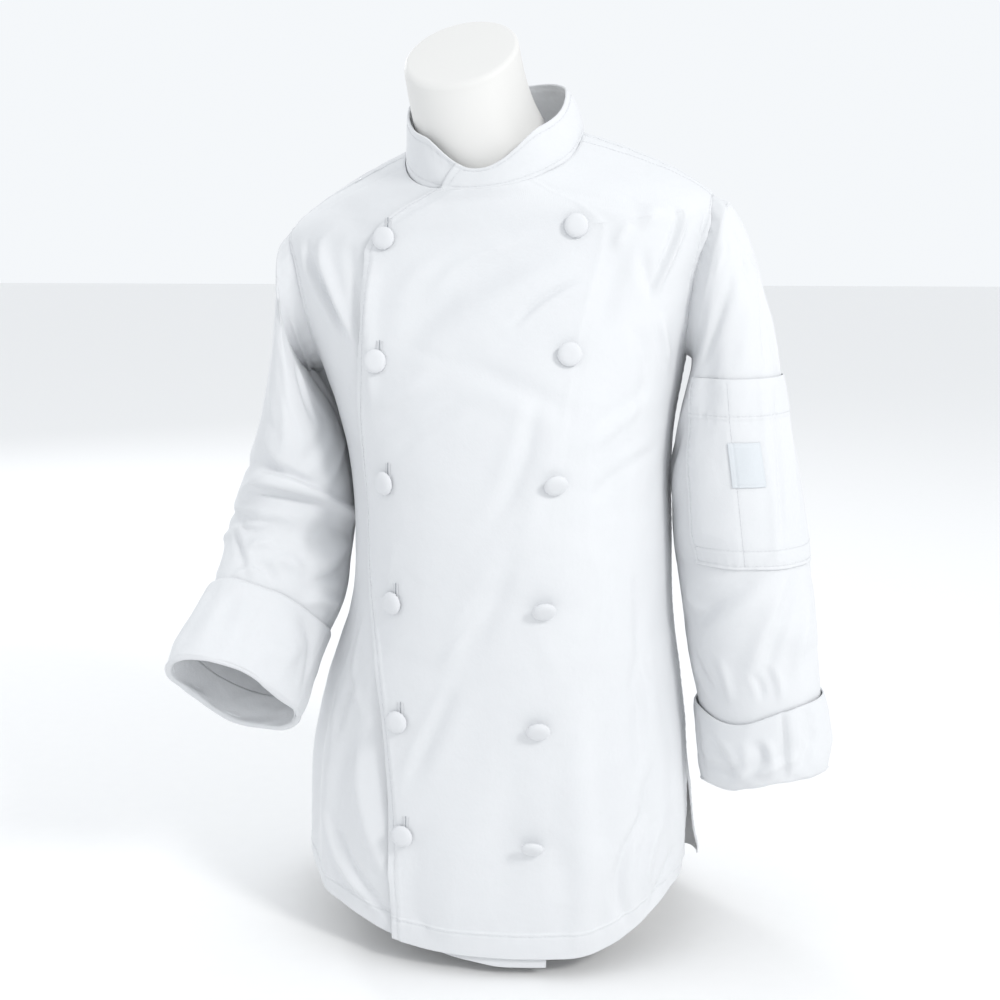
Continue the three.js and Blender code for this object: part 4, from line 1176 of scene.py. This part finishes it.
def cuff(name, sleeve, top_edge, seed, rows):
    """Turned-up sleeve end: cloth from inside the mouth, round it and back up the outside.

    top_edge gives the place along the sleeve where the turned-up cloth ends, for each turn round it.
    """
    last = sleeve.last
    around = turn_between(-sleeve.side * np.arange(SLEEVE_COUNT) * (360 / SLEEVE_COUNT), 0)
    start = top_edge(around)
    inside = [(mix(last - 0.8, last - 0.03, t), -1.5) for t in np.linspace(0, 1, 20)]
    fold = [(last, -1.0), (last + 0.03, 0.2), (last + 0.04, 1.6), (last + 0.03, 3.0), (last, 4.0)]
    outside = [(mix(last - 0.03, start, t), None) for t in np.linspace(0, 1, 30)]
    ahead = sleeve.middle(np.array([last - 1.0])) - sleeve.middle(np.array([last - 1.2]))
    ahead = ahead / np.linalg.norm(ahead)
    wave = np.sin(3 * around * DEGREE + seed) + 0.7 * np.sin(5 * around * DEGREE + 2.0 * seed) - 0.6
    grid = []
    for at, off in inside + fold + outside:
        place = np.minimum(np.broadcast_to(at, SLEEVE_COUNT), last)
        t = np.clip((last - place) / (last - start), 0, 1)
        base = sleeve.surface(around, place)
        normal = sleeve.normal(around, place)
        past = np.maximum(np.broadcast_to(at, SLEEVE_COUNT) - last, 0) * 50
        near_rim = 1 - smooth(0, 0.45, last - place)
        base = base + ahead * (past + CUFF_RIM_WAVE * near_rim * wave)[:, None]
        if off is None:
            swell = CUFF_BULGE * np.sin(math.pi * t) + CUFF_FLARE * t
            soft = 1 + 0.4 * np.sin(3 * around * DEGREE + 1.2) * np.sin(math.pi * t)
            off = 4.0 - 1.6 * t * t + swell * soft
            for turn in (-360, 0, 360):
                off = off + creases(around + turn, t * 60, rows)
        else:
            off = off + 1.1 * near_rim * np.sin(4 * around * DEGREE + seed)
        grid.append(base + normal * np.broadcast_to(off, SLEEVE_COUNT)[:, None])
    points = np.array(grid)
    v = np.repeat(np.arange(points.shape[0])[:, None] * 2.4, SLEEVE_COUNT, 1)
    u = np.repeat(-sleeve.side * np.arange(SLEEVE_COUNT)[None, :] * (360 / SLEEVE_COUNT), v.shape[0], 0)
    normals = grid_normals(points, closed=True)
    height = ripple(u, v, seed, 120, 6, 0.9, 0.9) * smooth(8, 20, v)
    points = points + normals * height[..., None]
    normals = grid_normals(points, closed=True)
    return cloth_shell(name, points, normals, 1.4, u, v, closed=True)


def left_cuff_top(around):
    """The left cuff's edge sags towards its front and inner side."""
    sag = 0.32 * bump(turn_between(around, 112), 105)
    return LEFT_CUFF_START + 0.06 + sag + 0.03 * np.sin(around * DEGREE * 4)


def right_cuff_top(around):
    return RIGHT_CUFF_START + 0.05 * np.sin(around * DEGREE * 3 + 1) + 0.03 * np.sin(around * DEGREE * 5)


CUFF_LEFT_PHOTO_CREASES = (
    (784, 704, 786, 740, 788, 778, 2.6, -2.4, 0.5),
    (796, 706, 798, 732, 792, 770, 5, 2.2, 0.3),
    (708, 722, 722, 744, 728, 776, 5, -2.6, 0.4),
    (740, 722, 742, 748, 736, 778, 5, 1.8, 0.4),
    (752, 724, 758, 744, 752, 766, 4.5, -2.6, 0.3),
    (764, 728, 772, 752, 768, 782, 4, 1.9, 0.3),
    (812, 706, 812, 730, 806, 762, 5, -2.4, 0.3),
    (700, 748, 720, 756, 744, 752, 4.5, -1.8, 0.4),
    (752, 770, 776, 764, 800, 752, 4.5, 1.8, 0.4),
)
CUFF_LEFT_CLOTH_CREASES = (
    (-120, 8, -110, 50, 6, -1.8, 3, 0.4),
    (-70, 5, -84, 52, 5, 1.8, -3, 0.3),
    (-30, 10, -40, 48, 6, -2, 4, 0.3),
    (-160, 6, -150, 50, 5, 1.6, 3, 0.3),
    (150, 10, 160, 50, 5, -1.6, 3, 0.3),
)
CUFF_RIGHT_PHOTO_CREASES = (
    (232, 590, 226, 620, 216, 648, 9, -1.8, 0.2),
    (290, 602, 292, 640, 284, 676, 10, 1.8, 0.2),
    (262, 600, 252, 640, 244, 664, 7, -1.4, 0.3),
    (306, 622, 312, 650, 306, 684, 5, -2.2, 0.3),
    (268, 640, 282, 650, 300, 652, 5, 1.3, 0.4),
)
CUFF_RIGHT_CLOTH_CREASES = (
    (-120, 8, -110, 50, 6, -1.8, 3, 0.4),
    (-60, 5, -74, 52, 6, 1.6, -3, 0.3),
    (-10, 10, -20, 48, 6, -1.6, 4, 0.3),
    (20, 12, 12, 46, 5, 1.4, 3, 0.3),
    (-160, 6, -150, 50, 5, 1.6, 3, 0.3),
)


def cuff_rows(sleeve, start, photo_rows, cloth_rows):
    """Creases of a cuff, whose second place runs from its rim, 0, to its top edge, 60."""
    around, at = np.meshgrid(np.linspace(-180, 180, 500), np.linspace(start, sleeve.last, 300))
    points = sleeve.base(around, at) + CUFF_STAND * sleeve.normal(around, at)
    panel = PhotoPanel(points, around, (sleeve.last - at) / (sleeve.last - start) * 60)
    return crease_rows(panel, photo_rows, cloth_rows, CUFF_CREASE_GAIN)


left_rows = cuff_rows(left, LEFT_CUFF_START, CUFF_LEFT_PHOTO_CREASES, CUFF_LEFT_CLOTH_CREASES)
right_rows = cuff_rows(right, RIGHT_CUFF_START, CUFF_RIGHT_PHOTO_CREASES, CUFF_RIGHT_CLOTH_CREASES)
cuff_left = cuff("cuff_left_cloth", left, left_cuff_top, 71, left_rows)
cuff_right = cuff("cuff_right_cloth", right, right_cuff_top, 82, right_rows)


def place_at_height(sleeve, around, z):
    """Place along a sleeve where its point at this turn lies at this height."""
    low = np.full(np.shape(around), float(sleeve.last))
    high = np.ones(np.shape(around))
    for _ in range(26):
        middle = (low + high) / 2
        above = sleeve.base(around, middle)[..., 2] > z
        high = np.where(above, middle, high)
        low = np.where(above, low, middle)
    return low


def sleeve_patch(name, sleeve, patch, spacing, lift, thickness, relief):
    """Patch sewn on a sleeve: a rectangle of its points, moved out."""
    span = patch["to"] - patch["from"]
    tall = patch["top"] - patch["bottom"]
    across = graded(span, spacing / 2, spacing, ((0, 8), (span - 8, span)))
    upward = graded(tall, spacing / 2, spacing, ((0, 20), (tall - 34, tall)))
    around = mix(patch["to"], patch["from"], across)
    z = mix(patch["bottom"], patch["top"], upward)
    a, h = np.meshgrid(around, z)
    at = place_at_height(sleeve, a, h)
    d_side = np.minimum(across * span, span - across * span)[None, :]
    d_low, d_top = (upward * tall)[:, None], (tall - upward * tall)[:, None]
    normal = sleeve.normal(a, at)
    height = lift + thickness + relief(a, h, d_side, d_low, d_top)
    points = sleeve.surface(a, at) + normal * height[..., None]
    normal = grid_normals(points)
    piece = cloth_shell(name, points, normal, thickness, a, h)

    def fraction_of(place, along):
        return np.interp((patch["to"] - place) / span, across, np.arange(across.size))

    return piece, Sheet(points, normal, a, h, z, fraction_of)


POCKET_BAND = 31
POCKET_SLOT_AROUND = 86
POCKET_RIDGE_AROUND = 56


def pocket_relief(a, h, d_side, d_low, d_top):
    inside = smooth(0, 14, d_side) * smooth(0, 14, d_low)
    height = 0.8 * inside - 0.8 * smooth(9, 0, d_top)
    height = height + 0.6 * (1 - smooth(POCKET_BAND, POCKET_BAND + 2, d_top))
    height = height + stitch_groove(d_top - POCKET_BAND + 1.5) + stitch_groove(d_side - 3)
    height = height + stitch_groove(d_low - 3) + stitch_groove(d_low - 16, 0.3)
    height = height + stitch_groove(a - POCKET_SLOT_AROUND, 0.5) * (h > 0)
    height = height + pucker(a, d_low - 3, 91, 0.35, 6, 9) + pucker(h, d_side - 3, 92, 0.3, 6, 9)
    height = height + pucker(a, d_top - POCKET_BAND, 93, 0.35, 6, 10)
    ridge = (a - POCKET_RIDGE_AROUND + 0.05 * (h - 420)) / 4.5
    return height + 1.3 * np.exp(-ridge * ridge) * smooth(0, 20, d_low)


pocket, pocket_sheet = sleeve_patch(
    "sleeve_pocket_cloth", left, POCKET, 2.2, PATCH_LIFT, 0.9, pocket_relief
)


def patch_row(sheet, around, height):
    add_stitches("pocket", *sheet.at(np.asarray(around, float), np.asarray(height, float)))


low_a, high_a = POCKET["from"] + 3, POCKET["to"] - 3
low_h, high_h = POCKET["bottom"] + 3, POCKET["top"] - 2
patch_row(pocket_sheet, line(low_a, high_a, 300), np.full(300, low_h))
patch_row(pocket_sheet, line(low_a, high_a, 300), np.full(300, POCKET["bottom"] + 16))
patch_row(pocket_sheet, line(low_a, high_a, 300), np.full(300, POCKET["top"] - POCKET_BAND + 1.5))
patch_row(pocket_sheet, np.full(300, low_a), line(low_h, high_h, 300))
patch_row(pocket_sheet, np.full(300, high_a), line(low_h, high_h, 300))
patch_row(pocket_sheet, np.full(300, POCKET_SLOT_AROUND), line(low_h, high_h, 300))


def label_relief(a, h, d_side, d_low, d_top):
    """The label lies on the pocket, so it starts from the pocket's own relief there."""
    near = np.minimum(np.minimum(d_side, d_low), d_top)
    pocket_side = np.minimum(a - POCKET["from"], POCKET["to"] - a)
    below = pocket_relief(a, h, pocket_side, h - POCKET["bottom"], POCKET["top"] - h)
    return below + 0.25 * smooth(0, 4, near) - 0.2 * np.exp(-(((near - 1.6) / 0.7) ** 2))


label, _ = sleeve_patch("woven_label", left, LABEL, 1.6, PATCH_LIFT + 1.5, 0.6, label_relief)


# Covered buttons
BUTTON_DROOPS = (8, 16, 33, 35, 30, 42)


def surface_frame(angle, level, sheet):
    point, normal = sheet.at(np.array([angle]), np.array([level]))
    return point[0], normal[0]


def front_place(x, z):
    """Angle and level of the body's front at a place across and a height."""
    height = z * (1 + SHOULDER_TILT * x)
    low, high = 0.0, float(NECK_LEVEL)
    for _ in range(40):
        middle = (low + high) / 2
        angle = front_angle(np.array(float(x)), np.array(middle))
        if body_point(angle, middle)[2] < height:
            low = middle
        else:
            high = middle
    return float(front_angle(np.array(float(x)), np.array(low))), low


def covered_button(name, x, z, droop, seed):
    """Domed button in gathered cloth, seated on the front and leaning down on its thread."""
    angle, level = front_place(x, z)
    point, normal = surface_frame(angle, level, over_sheet)
    rng = np.random.default_rng(seed)
    steps, facets = 16, 48
    turn = np.arange(facets) * 2 * math.pi / facets
    underside = ((0.0, 0.35), (0.55, 0.25), (0.82, 0.35), (0.95, 1.0))
    profile = [(BUTTON_RADIUS * share, height) for share, height in underside]
    for i in range(steps + 1):
        t = i / steps * math.pi / 2
        profile.append((BUTTON_RADIUS * math.cos(t) ** 0.62, 1.9 + (BUTTON_HEIGHT - 1.9) * math.sin(t)))
    rings, phase = [], rng.uniform(0, 6, 3)
    for radius, height in profile:
        gather = math.exp(-(((height - 0.9) / 1.1) ** 2))
        folds = 0.28 * gather * (np.sin(turn * 17 + phase[0]) + 0.6 * np.sin(turn * 11 + phase[1]))
        soft = 0.12 * np.sin(turn * 2 + phase[2]) * radius / BUTTON_RADIUS
        r = np.maximum(radius + (folds + soft) * (radius > 0), 0)
        rings.append(np.stack([r * np.cos(turn), r * np.sin(turn), np.full(facets, height)], -1))
    shape = np.array(rings)
    side = np.cross([0, 0, 1], normal)
    side /= np.linalg.norm(side)
    up = np.cross(normal, side)
    lean = droop * DEGREE
    face = normal * math.cos(lean) - up * math.sin(lean)
    high = up * math.cos(lean) + normal * math.sin(lean)
    raised = point + normal * (0.2 + math.sin(lean) * BUTTON_RADIUS * 0.8)
    world = raised + shape[..., :1] * side + shape[..., 1:2] * high + shape[..., 2:] * face
    vertices = np.concatenate([world[1:-1].reshape(-1, 3), world[0, :1], world[-1, :1]])
    rows = len(profile) - 2
    index = np.arange(rows * facets).reshape(rows, facets)
    after = np.roll(index, -1, 1)
    faces = np.stack([index[:-1], after[:-1], after[1:], index[1:]], -1).reshape(-1, 4)
    piece = make_mesh(name, vertices, faces)
    close_poles(piece, index, rows * facets)
    return piece


def close_poles(piece, index, first):
    import bmesh

    mesh = bmesh.new()
    mesh.from_mesh(piece.data)
    mesh.verts.ensure_lookup_table()
    count = index.shape[1]
    for j in range(count):
        a, b = int(index[0, j]), int(index[0, (j + 1) % count])
        mesh.faces.new((mesh.verts[first], mesh.verts[b], mesh.verts[a])).smooth = True
        a, b = int(index[-1, j]), int(index[-1, (j + 1) % count])
        mesh.faces.new((mesh.verts[first + 1], mesh.verts[a], mesh.verts[b])).smooth = True
    mesh.to_mesh(piece.data)
    mesh.free()


buttons = []
for number, (z, x) in enumerate(BUTTON_ROWS, 1):
    for side_name, side, droop in (("right", -1, 3), ("left", 1, BUTTON_DROOPS[number - 1])):
        name = f"covered_button_{side_name}_{number}"
        piece = covered_button(name, side * x, z, droop, 100 + number + side)
        buttons.append((piece, f"button_{side_name}_{number}"))


# Buttonholes of the fastened column: a slit between two rows of close cross stitches
HOLE_LENGTH = 15
HOLE_RISE = 9.5
HOLE_BAR_PITCH = 0.75


def bars(points, normals, sides, half_length, radius):
    """Small round bars across a line, as one mesh's vertices and faces."""
    corner = np.arange(6) * math.pi / 3
    vertices, faces = [], []
    for point, normal, side in zip(points, normals, sides):
        high = np.cross(side, normal)
        base = len(vertices) * 0 + sum(len(v) for v in vertices)
        rings = []
        for along, size in ((-1, 0.35), (-0.7, 1), (0.7, 1), (1, 0.35)):
            ring = point + side * half_length * along + normal * 0.15
            along_high = np.cos(corner)[:, None] * high * radius * size
            along_normal = np.sin(corner)[:, None] * normal * radius * size
            ring = ring + along_high + along_normal
            rings.append(ring)
        vertices.append(np.concatenate(rings))
        for k in range(3):
            a = base + k * 6 + np.arange(6)
            b = base + k * 6 + (np.arange(6) + 1) % 6
            faces.append(np.stack([a, b, b + 6, a + 6], -1))
    return np.concatenate(vertices), np.concatenate(faces)


def thread_mesh(name, rows):
    """One mesh of short stitches along each row of points."""
    centres, ways, ups = [], [], []
    for points, normals in rows:
        step = np.linalg.norm(np.diff(points, axis=0), axis=1)
        run = np.concatenate([[0], np.cumsum(step)])
        if run[-1] < STITCH_PITCH:
            continue
        middle = np.arange(STITCH_PITCH / 2, run[-1], STITCH_PITCH)
        put = lambda grid, at: np.stack([np.interp(at, run, grid[:, k]) for k in range(3)], -1)
        centre = put(points, middle)
        way = put(points, middle + 0.5) - put(points, middle - 0.5)
        centres.append(centre)
        ways.append(way / np.maximum(np.linalg.norm(way, axis=1, keepdims=True), 1e-9))
        ups.append(put(normals, middle))
    centres, ways, ups = np.concatenate(centres), np.concatenate(ways), np.concatenate(ups)
    vertices, faces = bars(centres, ups, ways, STITCH_LENGTH / 2, THREAD_RADIUS)
    return make_mesh(name, vertices, faces)


def buttonholes():
    vertices, faces, base = [], [], 0
    for z, x in BUTTON_ROWS:
        heights = np.arange(HOLE_RISE - HOLE_LENGTH / 2, HOLE_RISE + HOLE_LENGTH / 2, HOLE_BAR_PITCH)
        for across in (-1.5, 1.5):
            places = [front_place(-x + 2.5 + across, z + h) for h in heights]
            angle = np.array([p[0] for p in places])
            level = np.array([p[1] for p in places])
            points, normals = over_sheet.at(angle, level)
            side = np.cross(np.array([0, 0, 1.0]), normals)
            side /= np.linalg.norm(side, axis=1, keepdims=True)
            part, quads = bars(points + normals * 0.1, normals, side, 1.35, 0.42)
            vertices.append(part)
            faces.append(quads + base)
            base += len(part)
    return make_mesh("buttonhole_stitching", np.concatenate(vertices), np.concatenate(faces))


def slit_shade_sheets():
    """Painted shade: a dark sheet in the cut between a buttonhole's two rows, in place of the shade inside it."""
    vertices, faces, base = [], [], 0
    for z, x in BUTTON_ROWS:
        heights = np.linspace(HOLE_RISE - HOLE_LENGTH / 2, HOLE_RISE + HOLE_LENGTH / 2, 12)
        rows = []
        for across in (-0.45, 0.0, 0.45):
            places = [front_place(-x + 2.5 + across, z + h) for h in heights]
            angles, levels = np.array(places).T
            points, normals = over_sheet.at(angles, levels)
            rows.append(points + normals * (0.3 if across else 0.12))
        grid = np.array(rows)
        index = np.arange(36).reshape(3, 12) + base
        vertices.append(grid.reshape(-1, 3))
        quads = np.stack([index[:-1, :-1], index[1:, :-1], index[1:, 1:], index[:-1, 1:]], -1)
        faces.append(quads.reshape(-1, 4))
        base += 36
    return make_mesh("buttonhole_slit_shade", np.concatenate(vertices), np.concatenate(faces))


hole_threads = buttonholes()
hole_slit_shade = slit_shade_sheets()
threads = []
for group in ("over", "under", "back", "collar", "pocket"):
    rows = [(points, normals) for name, points, normals in stitch_rows if name == group]
    threads.append(thread_mesh(f"topstitching_{group}", rows))


# Dress form
def form_point(angle, level):
    base = body_point(angle, level)
    ease = np.interp(level, [row[0] for row in FORM_EASE], [row[1] for row in FORM_EASE])
    ease = ease + 2.2 + FORM_CHEST_EASE * smooth(0.1, 0.6, -np.sin(angle))
    normal = body_normal(angle, np.maximum(level, 0.5))
    flat = normal.copy()
    flat[..., 2] = 0
    flat /= np.linalg.norm(flat, axis=-1, keepdims=True)
    normal = np.where((level < 9.3)[..., None], flat, normal)
    return base - normal * ease[..., None]


def neck_rows():
    """Rings of the neck block up to its flat slanted cap, whose edge is a small round."""
    rows = []
    for at in np.linspace(0, 4, 26):
        rows.append([column(FORM_NECK_RINGS, FORM_NECK_COLUMNS, name, at) for name in FORM_NECK_COLUMNS])
    x, y, z, half_x, half_y, tilt = rows[-1]
    for turn in np.linspace(12, 90, 8) * DEGREE:
        inset = 4.5 * (1 - math.cos(turn))
        up = math.sin(turn)
        rows.append([x, y - 1.2 * up, z + 5.0 * up, half_x - inset, half_y - inset, tilt])
    x, y, z, half_x, half_y, tilt = rows[-1]
    for share in (0.86, 0.7, 0.5, 0.3, 0.12):
        rows.append([x, y, z + 0.9 * (1 - share * share), half_x * share, half_y * share, tilt])
    return rows


def dress_form():
    facets = 128
    angle = np.arange(facets) * 2 * math.pi / facets
    levels = np.concatenate([np.linspace(0, 9, 60), np.linspace(9.1, 13.1, 50)])
    a, t = np.meshgrid(angle, levels)
    rings = form_point(a, t)
    rings[0, :, 2] = 0
    necks = []
    for x, y, z, half_x, half_y, tilt in neck_rows():
        dy = half_y * np.sin(angle)
        necks.append(tilted(np.stack([x + half_x * np.cos(angle), y + dy, z + tilt * dy], -1)))
    rings = np.concatenate([rings, np.array(necks)])
    rows = rings.shape[0]
    index = np.arange(rows * facets).reshape(rows, facets)
    after = np.roll(index, -1, 1)
    faces = np.stack([index[:-1], after[:-1], after[1:], index[1:]], -1).reshape(-1, 4)
    vertices = np.concatenate([rings.reshape(-1, 3), rings[0].mean(0)[None], rings[-1].mean(0)[None]])
    piece = make_mesh("form_shell", vertices, faces)
    close_poles(piece, index, rows * facets)
    return piece


form = dress_form()


# Materials
def new_material(name):
    material = bpy.data.materials.new(name)
    material.use_nodes = True
    return material, material.node_tree.nodes, material.node_tree.links


def noise(nodes, links, vector, scale, detail=3.0, roughness=0.5):
    node = nodes.new("ShaderNodeTexNoise")
    node.inputs["Scale"].default_value = scale
    node.inputs["Detail"].default_value = detail
    node.inputs["Roughness"].default_value = roughness
    links.new(vector, node.inputs["Vector"])
    return node


def bump_node(nodes, links, height, strength, distance, normal=None):
    node = nodes.new("ShaderNodeBump")
    node.inputs["Strength"].default_value = strength
    node.inputs["Distance"].default_value = distance
    links.new(height, node.inputs["Height"])
    if normal is not None:
        links.new(normal, node.inputs["Normal"])
    return node


def ramp(nodes, links, value, low, high):
    node = nodes.new("ShaderNodeValToRGB")
    node.color_ramp.elements[0].color = (*low, 1)
    node.color_ramp.elements[1].color = (*high, 1)
    links.new(value, node.inputs["Fac"])
    return node


def cotton_material(name, low, high, weave_pitch, slack):
    """White cotton twill: diagonal ribs, faint slubs, soft small wrinkles and a little sheen."""
    material, nodes, links = new_material(name)
    shader = nodes["Principled BSDF"]
    shader.inputs["Roughness"].default_value = 0.86
    shader.inputs["Specular IOR Level"].default_value = 0.25
    shader.inputs["Sheen Weight"].default_value = 0.18
    shader.inputs["Sheen Roughness"].default_value = 0.5
    place = nodes.new("ShaderNodeTexCoord")
    mapping = nodes.new("ShaderNodeMapping")
    mapping.inputs["Rotation"].default_value = (0, 0, 63 * DEGREE)
    links.new(place.outputs["UV"], mapping.inputs["Vector"])
    ribs = nodes.new("ShaderNodeTexWave")
    ribs.wave_type = "BANDS"
    ribs.inputs["Scale"].default_value = 0.314 / weave_pitch
    ribs.inputs["Distortion"].default_value = 1.2
    ribs.inputs["Detail"].default_value = 2.0
    ribs.inputs["Detail Scale"].default_value = 1.5
    links.new(mapping.outputs["Vector"], ribs.inputs["Vector"])
    slub = noise(nodes, links, place.outputs["Object"], 900, 2.0, 0.6)
    soft = noise(nodes, links, place.outputs["Object"], 42, 4.0, 0.55)
    tone = noise(nodes, links, place.outputs["Object"], 11, 3.0, 0.5)
    colour = ramp(nodes, links, tone.outputs["Fac"], low, high)
    links.new(colour.outputs["Color"], shader.inputs["Base Color"])
    first = bump_node(nodes, links, soft.outputs["Fac"], slack, 0.0022)
    second = bump_node(nodes, links, slub.outputs["Fac"], 0.25, 0.0002, first.outputs["Normal"])
    third = bump_node(nodes, links, ribs.outputs["Fac"], 0.35, 0.00015, second.outputs["Normal"])
    links.new(third.outputs["Normal"], shader.inputs["Normal"])
    return material


def plastic_material(name, low, high):
    """Satin moulded plastic with a very faint orange peel."""
    material, nodes, links = new_material(name)
    shader = nodes["Principled BSDF"]
    shader.inputs["Roughness"].default_value = 0.5
    shader.inputs["Specular IOR Level"].default_value = 0.4
    place = nodes.new("ShaderNodeTexCoord")
    tone = noise(nodes, links, place.outputs["Object"], 9, 2.0, 0.5)
    colour = ramp(nodes, links, tone.outputs["Fac"], low, high)
    links.new(colour.outputs["Color"], shader.inputs["Base Color"])
    peel = noise(nodes, links, place.outputs["Object"], 260, 2.0, 0.5)
    first = bump_node(nodes, links, peel.outputs["Fac"], 0.08, 0.0004)
    links.new(first.outputs["Normal"], shader.inputs["Normal"])
    return material


cotton = cotton_material("cotton_twill", (0.70, 0.712, 0.73), (0.745, 0.755, 0.77), 0.9, 0.35)
button_cloth = cotton_material("button_cloth", (0.69, 0.70, 0.72), (0.735, 0.745, 0.76), 0.7, 0.1)
thread = cotton_material("thread", (0.68, 0.69, 0.71), (0.73, 0.74, 0.755), 0.5, 0.05)
label_weave = cotton_material("label_weave", (0.65, 0.685, 0.715), (0.69, 0.72, 0.75), 0.5, 0.05)
plastic = plastic_material("form_plastic", (0.725, 0.72, 0.705), (0.755, 0.75, 0.735))
# Painted shade: the buttonhole slits get a flat dark grey that stands in for the shade inside the cut.
slit_shade_material, slit_shade_nodes, _ = new_material("slit_shadow")
slit_shade_nodes["Principled BSDF"].inputs["Base Color"].default_value = (0.36, 0.38, 0.41, 1)
slit_shade_nodes["Principled BSDF"].inputs["Roughness"].default_value = 0.95


def finish_piece(piece, material, slot_name, *nodes):
    piece.data.materials.append(material)
    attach(piece, "root")
    if nodes:
        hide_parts(*nodes)


finish_piece(form, plastic, "form_plastic", "dress_form")
finish_piece(back, cotton, "cotton", "back")
finish_piece(front_over, cotton, "cotton", "front_over")
finish_piece(front_under, cotton, "cotton", "front_under")
finish_piece(collar, cotton, "cotton", "collar")
finish_piece(sleeve_left, cotton, "cotton", "sleeve_left")
finish_piece(sleeve_right, cotton, "cotton", "sleeve_right")
finish_piece(cuff_left, cotton, "cotton", "cuff_left")
finish_piece(cuff_right, cotton, "cotton", "cuff_right")
finish_piece(pocket, cotton, "cotton", "sleeve_pocket")
finish_piece(label, label_weave, "label_weave", "label")
for piece, node in buttons:
    finish_piece(piece, button_cloth, "button_cloth", node)
finish_piece(hole_threads, thread, "cotton")
# The slit sheets carry painted shade, not a colour of the cloth.
finish_piece(hole_slit_shade, slit_shade_material, "cotton")
for piece in threads:
    finish_piece(piece, thread, "cotton")


# Camera at the photograph's place
camera_data = bpy.data.cameras.new("camera")
camera_data.sensor_width = 36
camera_data.lens = 49.1
camera_data.shift_x = 0.001
camera_data.shift_y = -0.013
camera_data.clip_end = 50
camera = bpy.data.objects.new("camera", camera_data)
camera.location = PHOTO_EYE / 1000
camera.rotation_euler = (90 * DEGREE - PHOTO_PITCH, 0, PHOTO_TURN)
bpy.context.scene.collection.objects.link(camera)
bpy.context.scene.camera = camera


# Pale floor and soft light
def plain_floor():
    size = 30
    steps = np.linspace(-size, size, 13)
    x, y = np.meshgrid(steps, steps)
    points = np.stack([x, y, np.zeros(x.shape)], -1) / MM
    index = np.arange(x.size).reshape(x.shape)
    faces = np.stack([index[:-1, :-1], index[:-1, 1:], index[1:, 1:], index[1:, :-1]], -1).reshape(-1, 4)
    piece = make_mesh("floor", points.reshape(-1, 3), faces)
    material, nodes, links = new_material("floor_paper")
    shader = nodes["Principled BSDF"]
    shader.inputs["Roughness"].default_value = 0.9
    place = nodes.new("ShaderNodeTexCoord")
    grain = noise(nodes, links, place.outputs["Object"], 60, 3.0)
    colour = ramp(nodes, links, grain.outputs["Fac"], (0.88, 0.88, 0.88), (0.9, 0.9, 0.9))
    links.new(colour.outputs["Color"], shader.inputs["Base Color"])
    piece.data.materials.append(material)
    return piece


floor = plain_floor()


def area_light(name, place, target, size, power_watts, colour):
    data = bpy.data.lights.new(name, "AREA")
    data.shape = "DISK"
    data.size = size
    data.energy = power_watts
    data.color = colour
    lamp = bpy.data.objects.new(name, data)
    lamp.location = place
    way = np.array(target) - np.array(place)
    lamp.rotation_euler = (
        math.atan2(math.hypot(way[0], way[1]), -way[2]),
        0,
        math.atan2(way[1], way[0]) - math.pi / 2,
    )
    bpy.context.scene.collection.objects.link(lamp)
    return lamp


area_light("key", (2.2, -1.6, 2.2), (0, 0, 0.4), 0.7, 38, (1, 0.99, 0.975))
area_light("side", (-2.4, -1.2, 1.5), (0, 0, 0.4), 1.4, 3, (0.96, 0.98, 1))
area_light("rear", (-1.9, 2.0, 1.9), (0, 0, 0.4), 0.8, 16, (0.98, 0.99, 1))
world = bpy.data.worlds.new("studio")
world.use_nodes = True
backdrop = world.node_tree.nodes["Background"]
backdrop.inputs["Color"].default_value = (0.95, 0.975, 1, 1)
backdrop.inputs["Strength"].default_value = 0.96
bpy.context.scene.world = world
bpy.context.scene.view_settings.view_transform = "Standard"
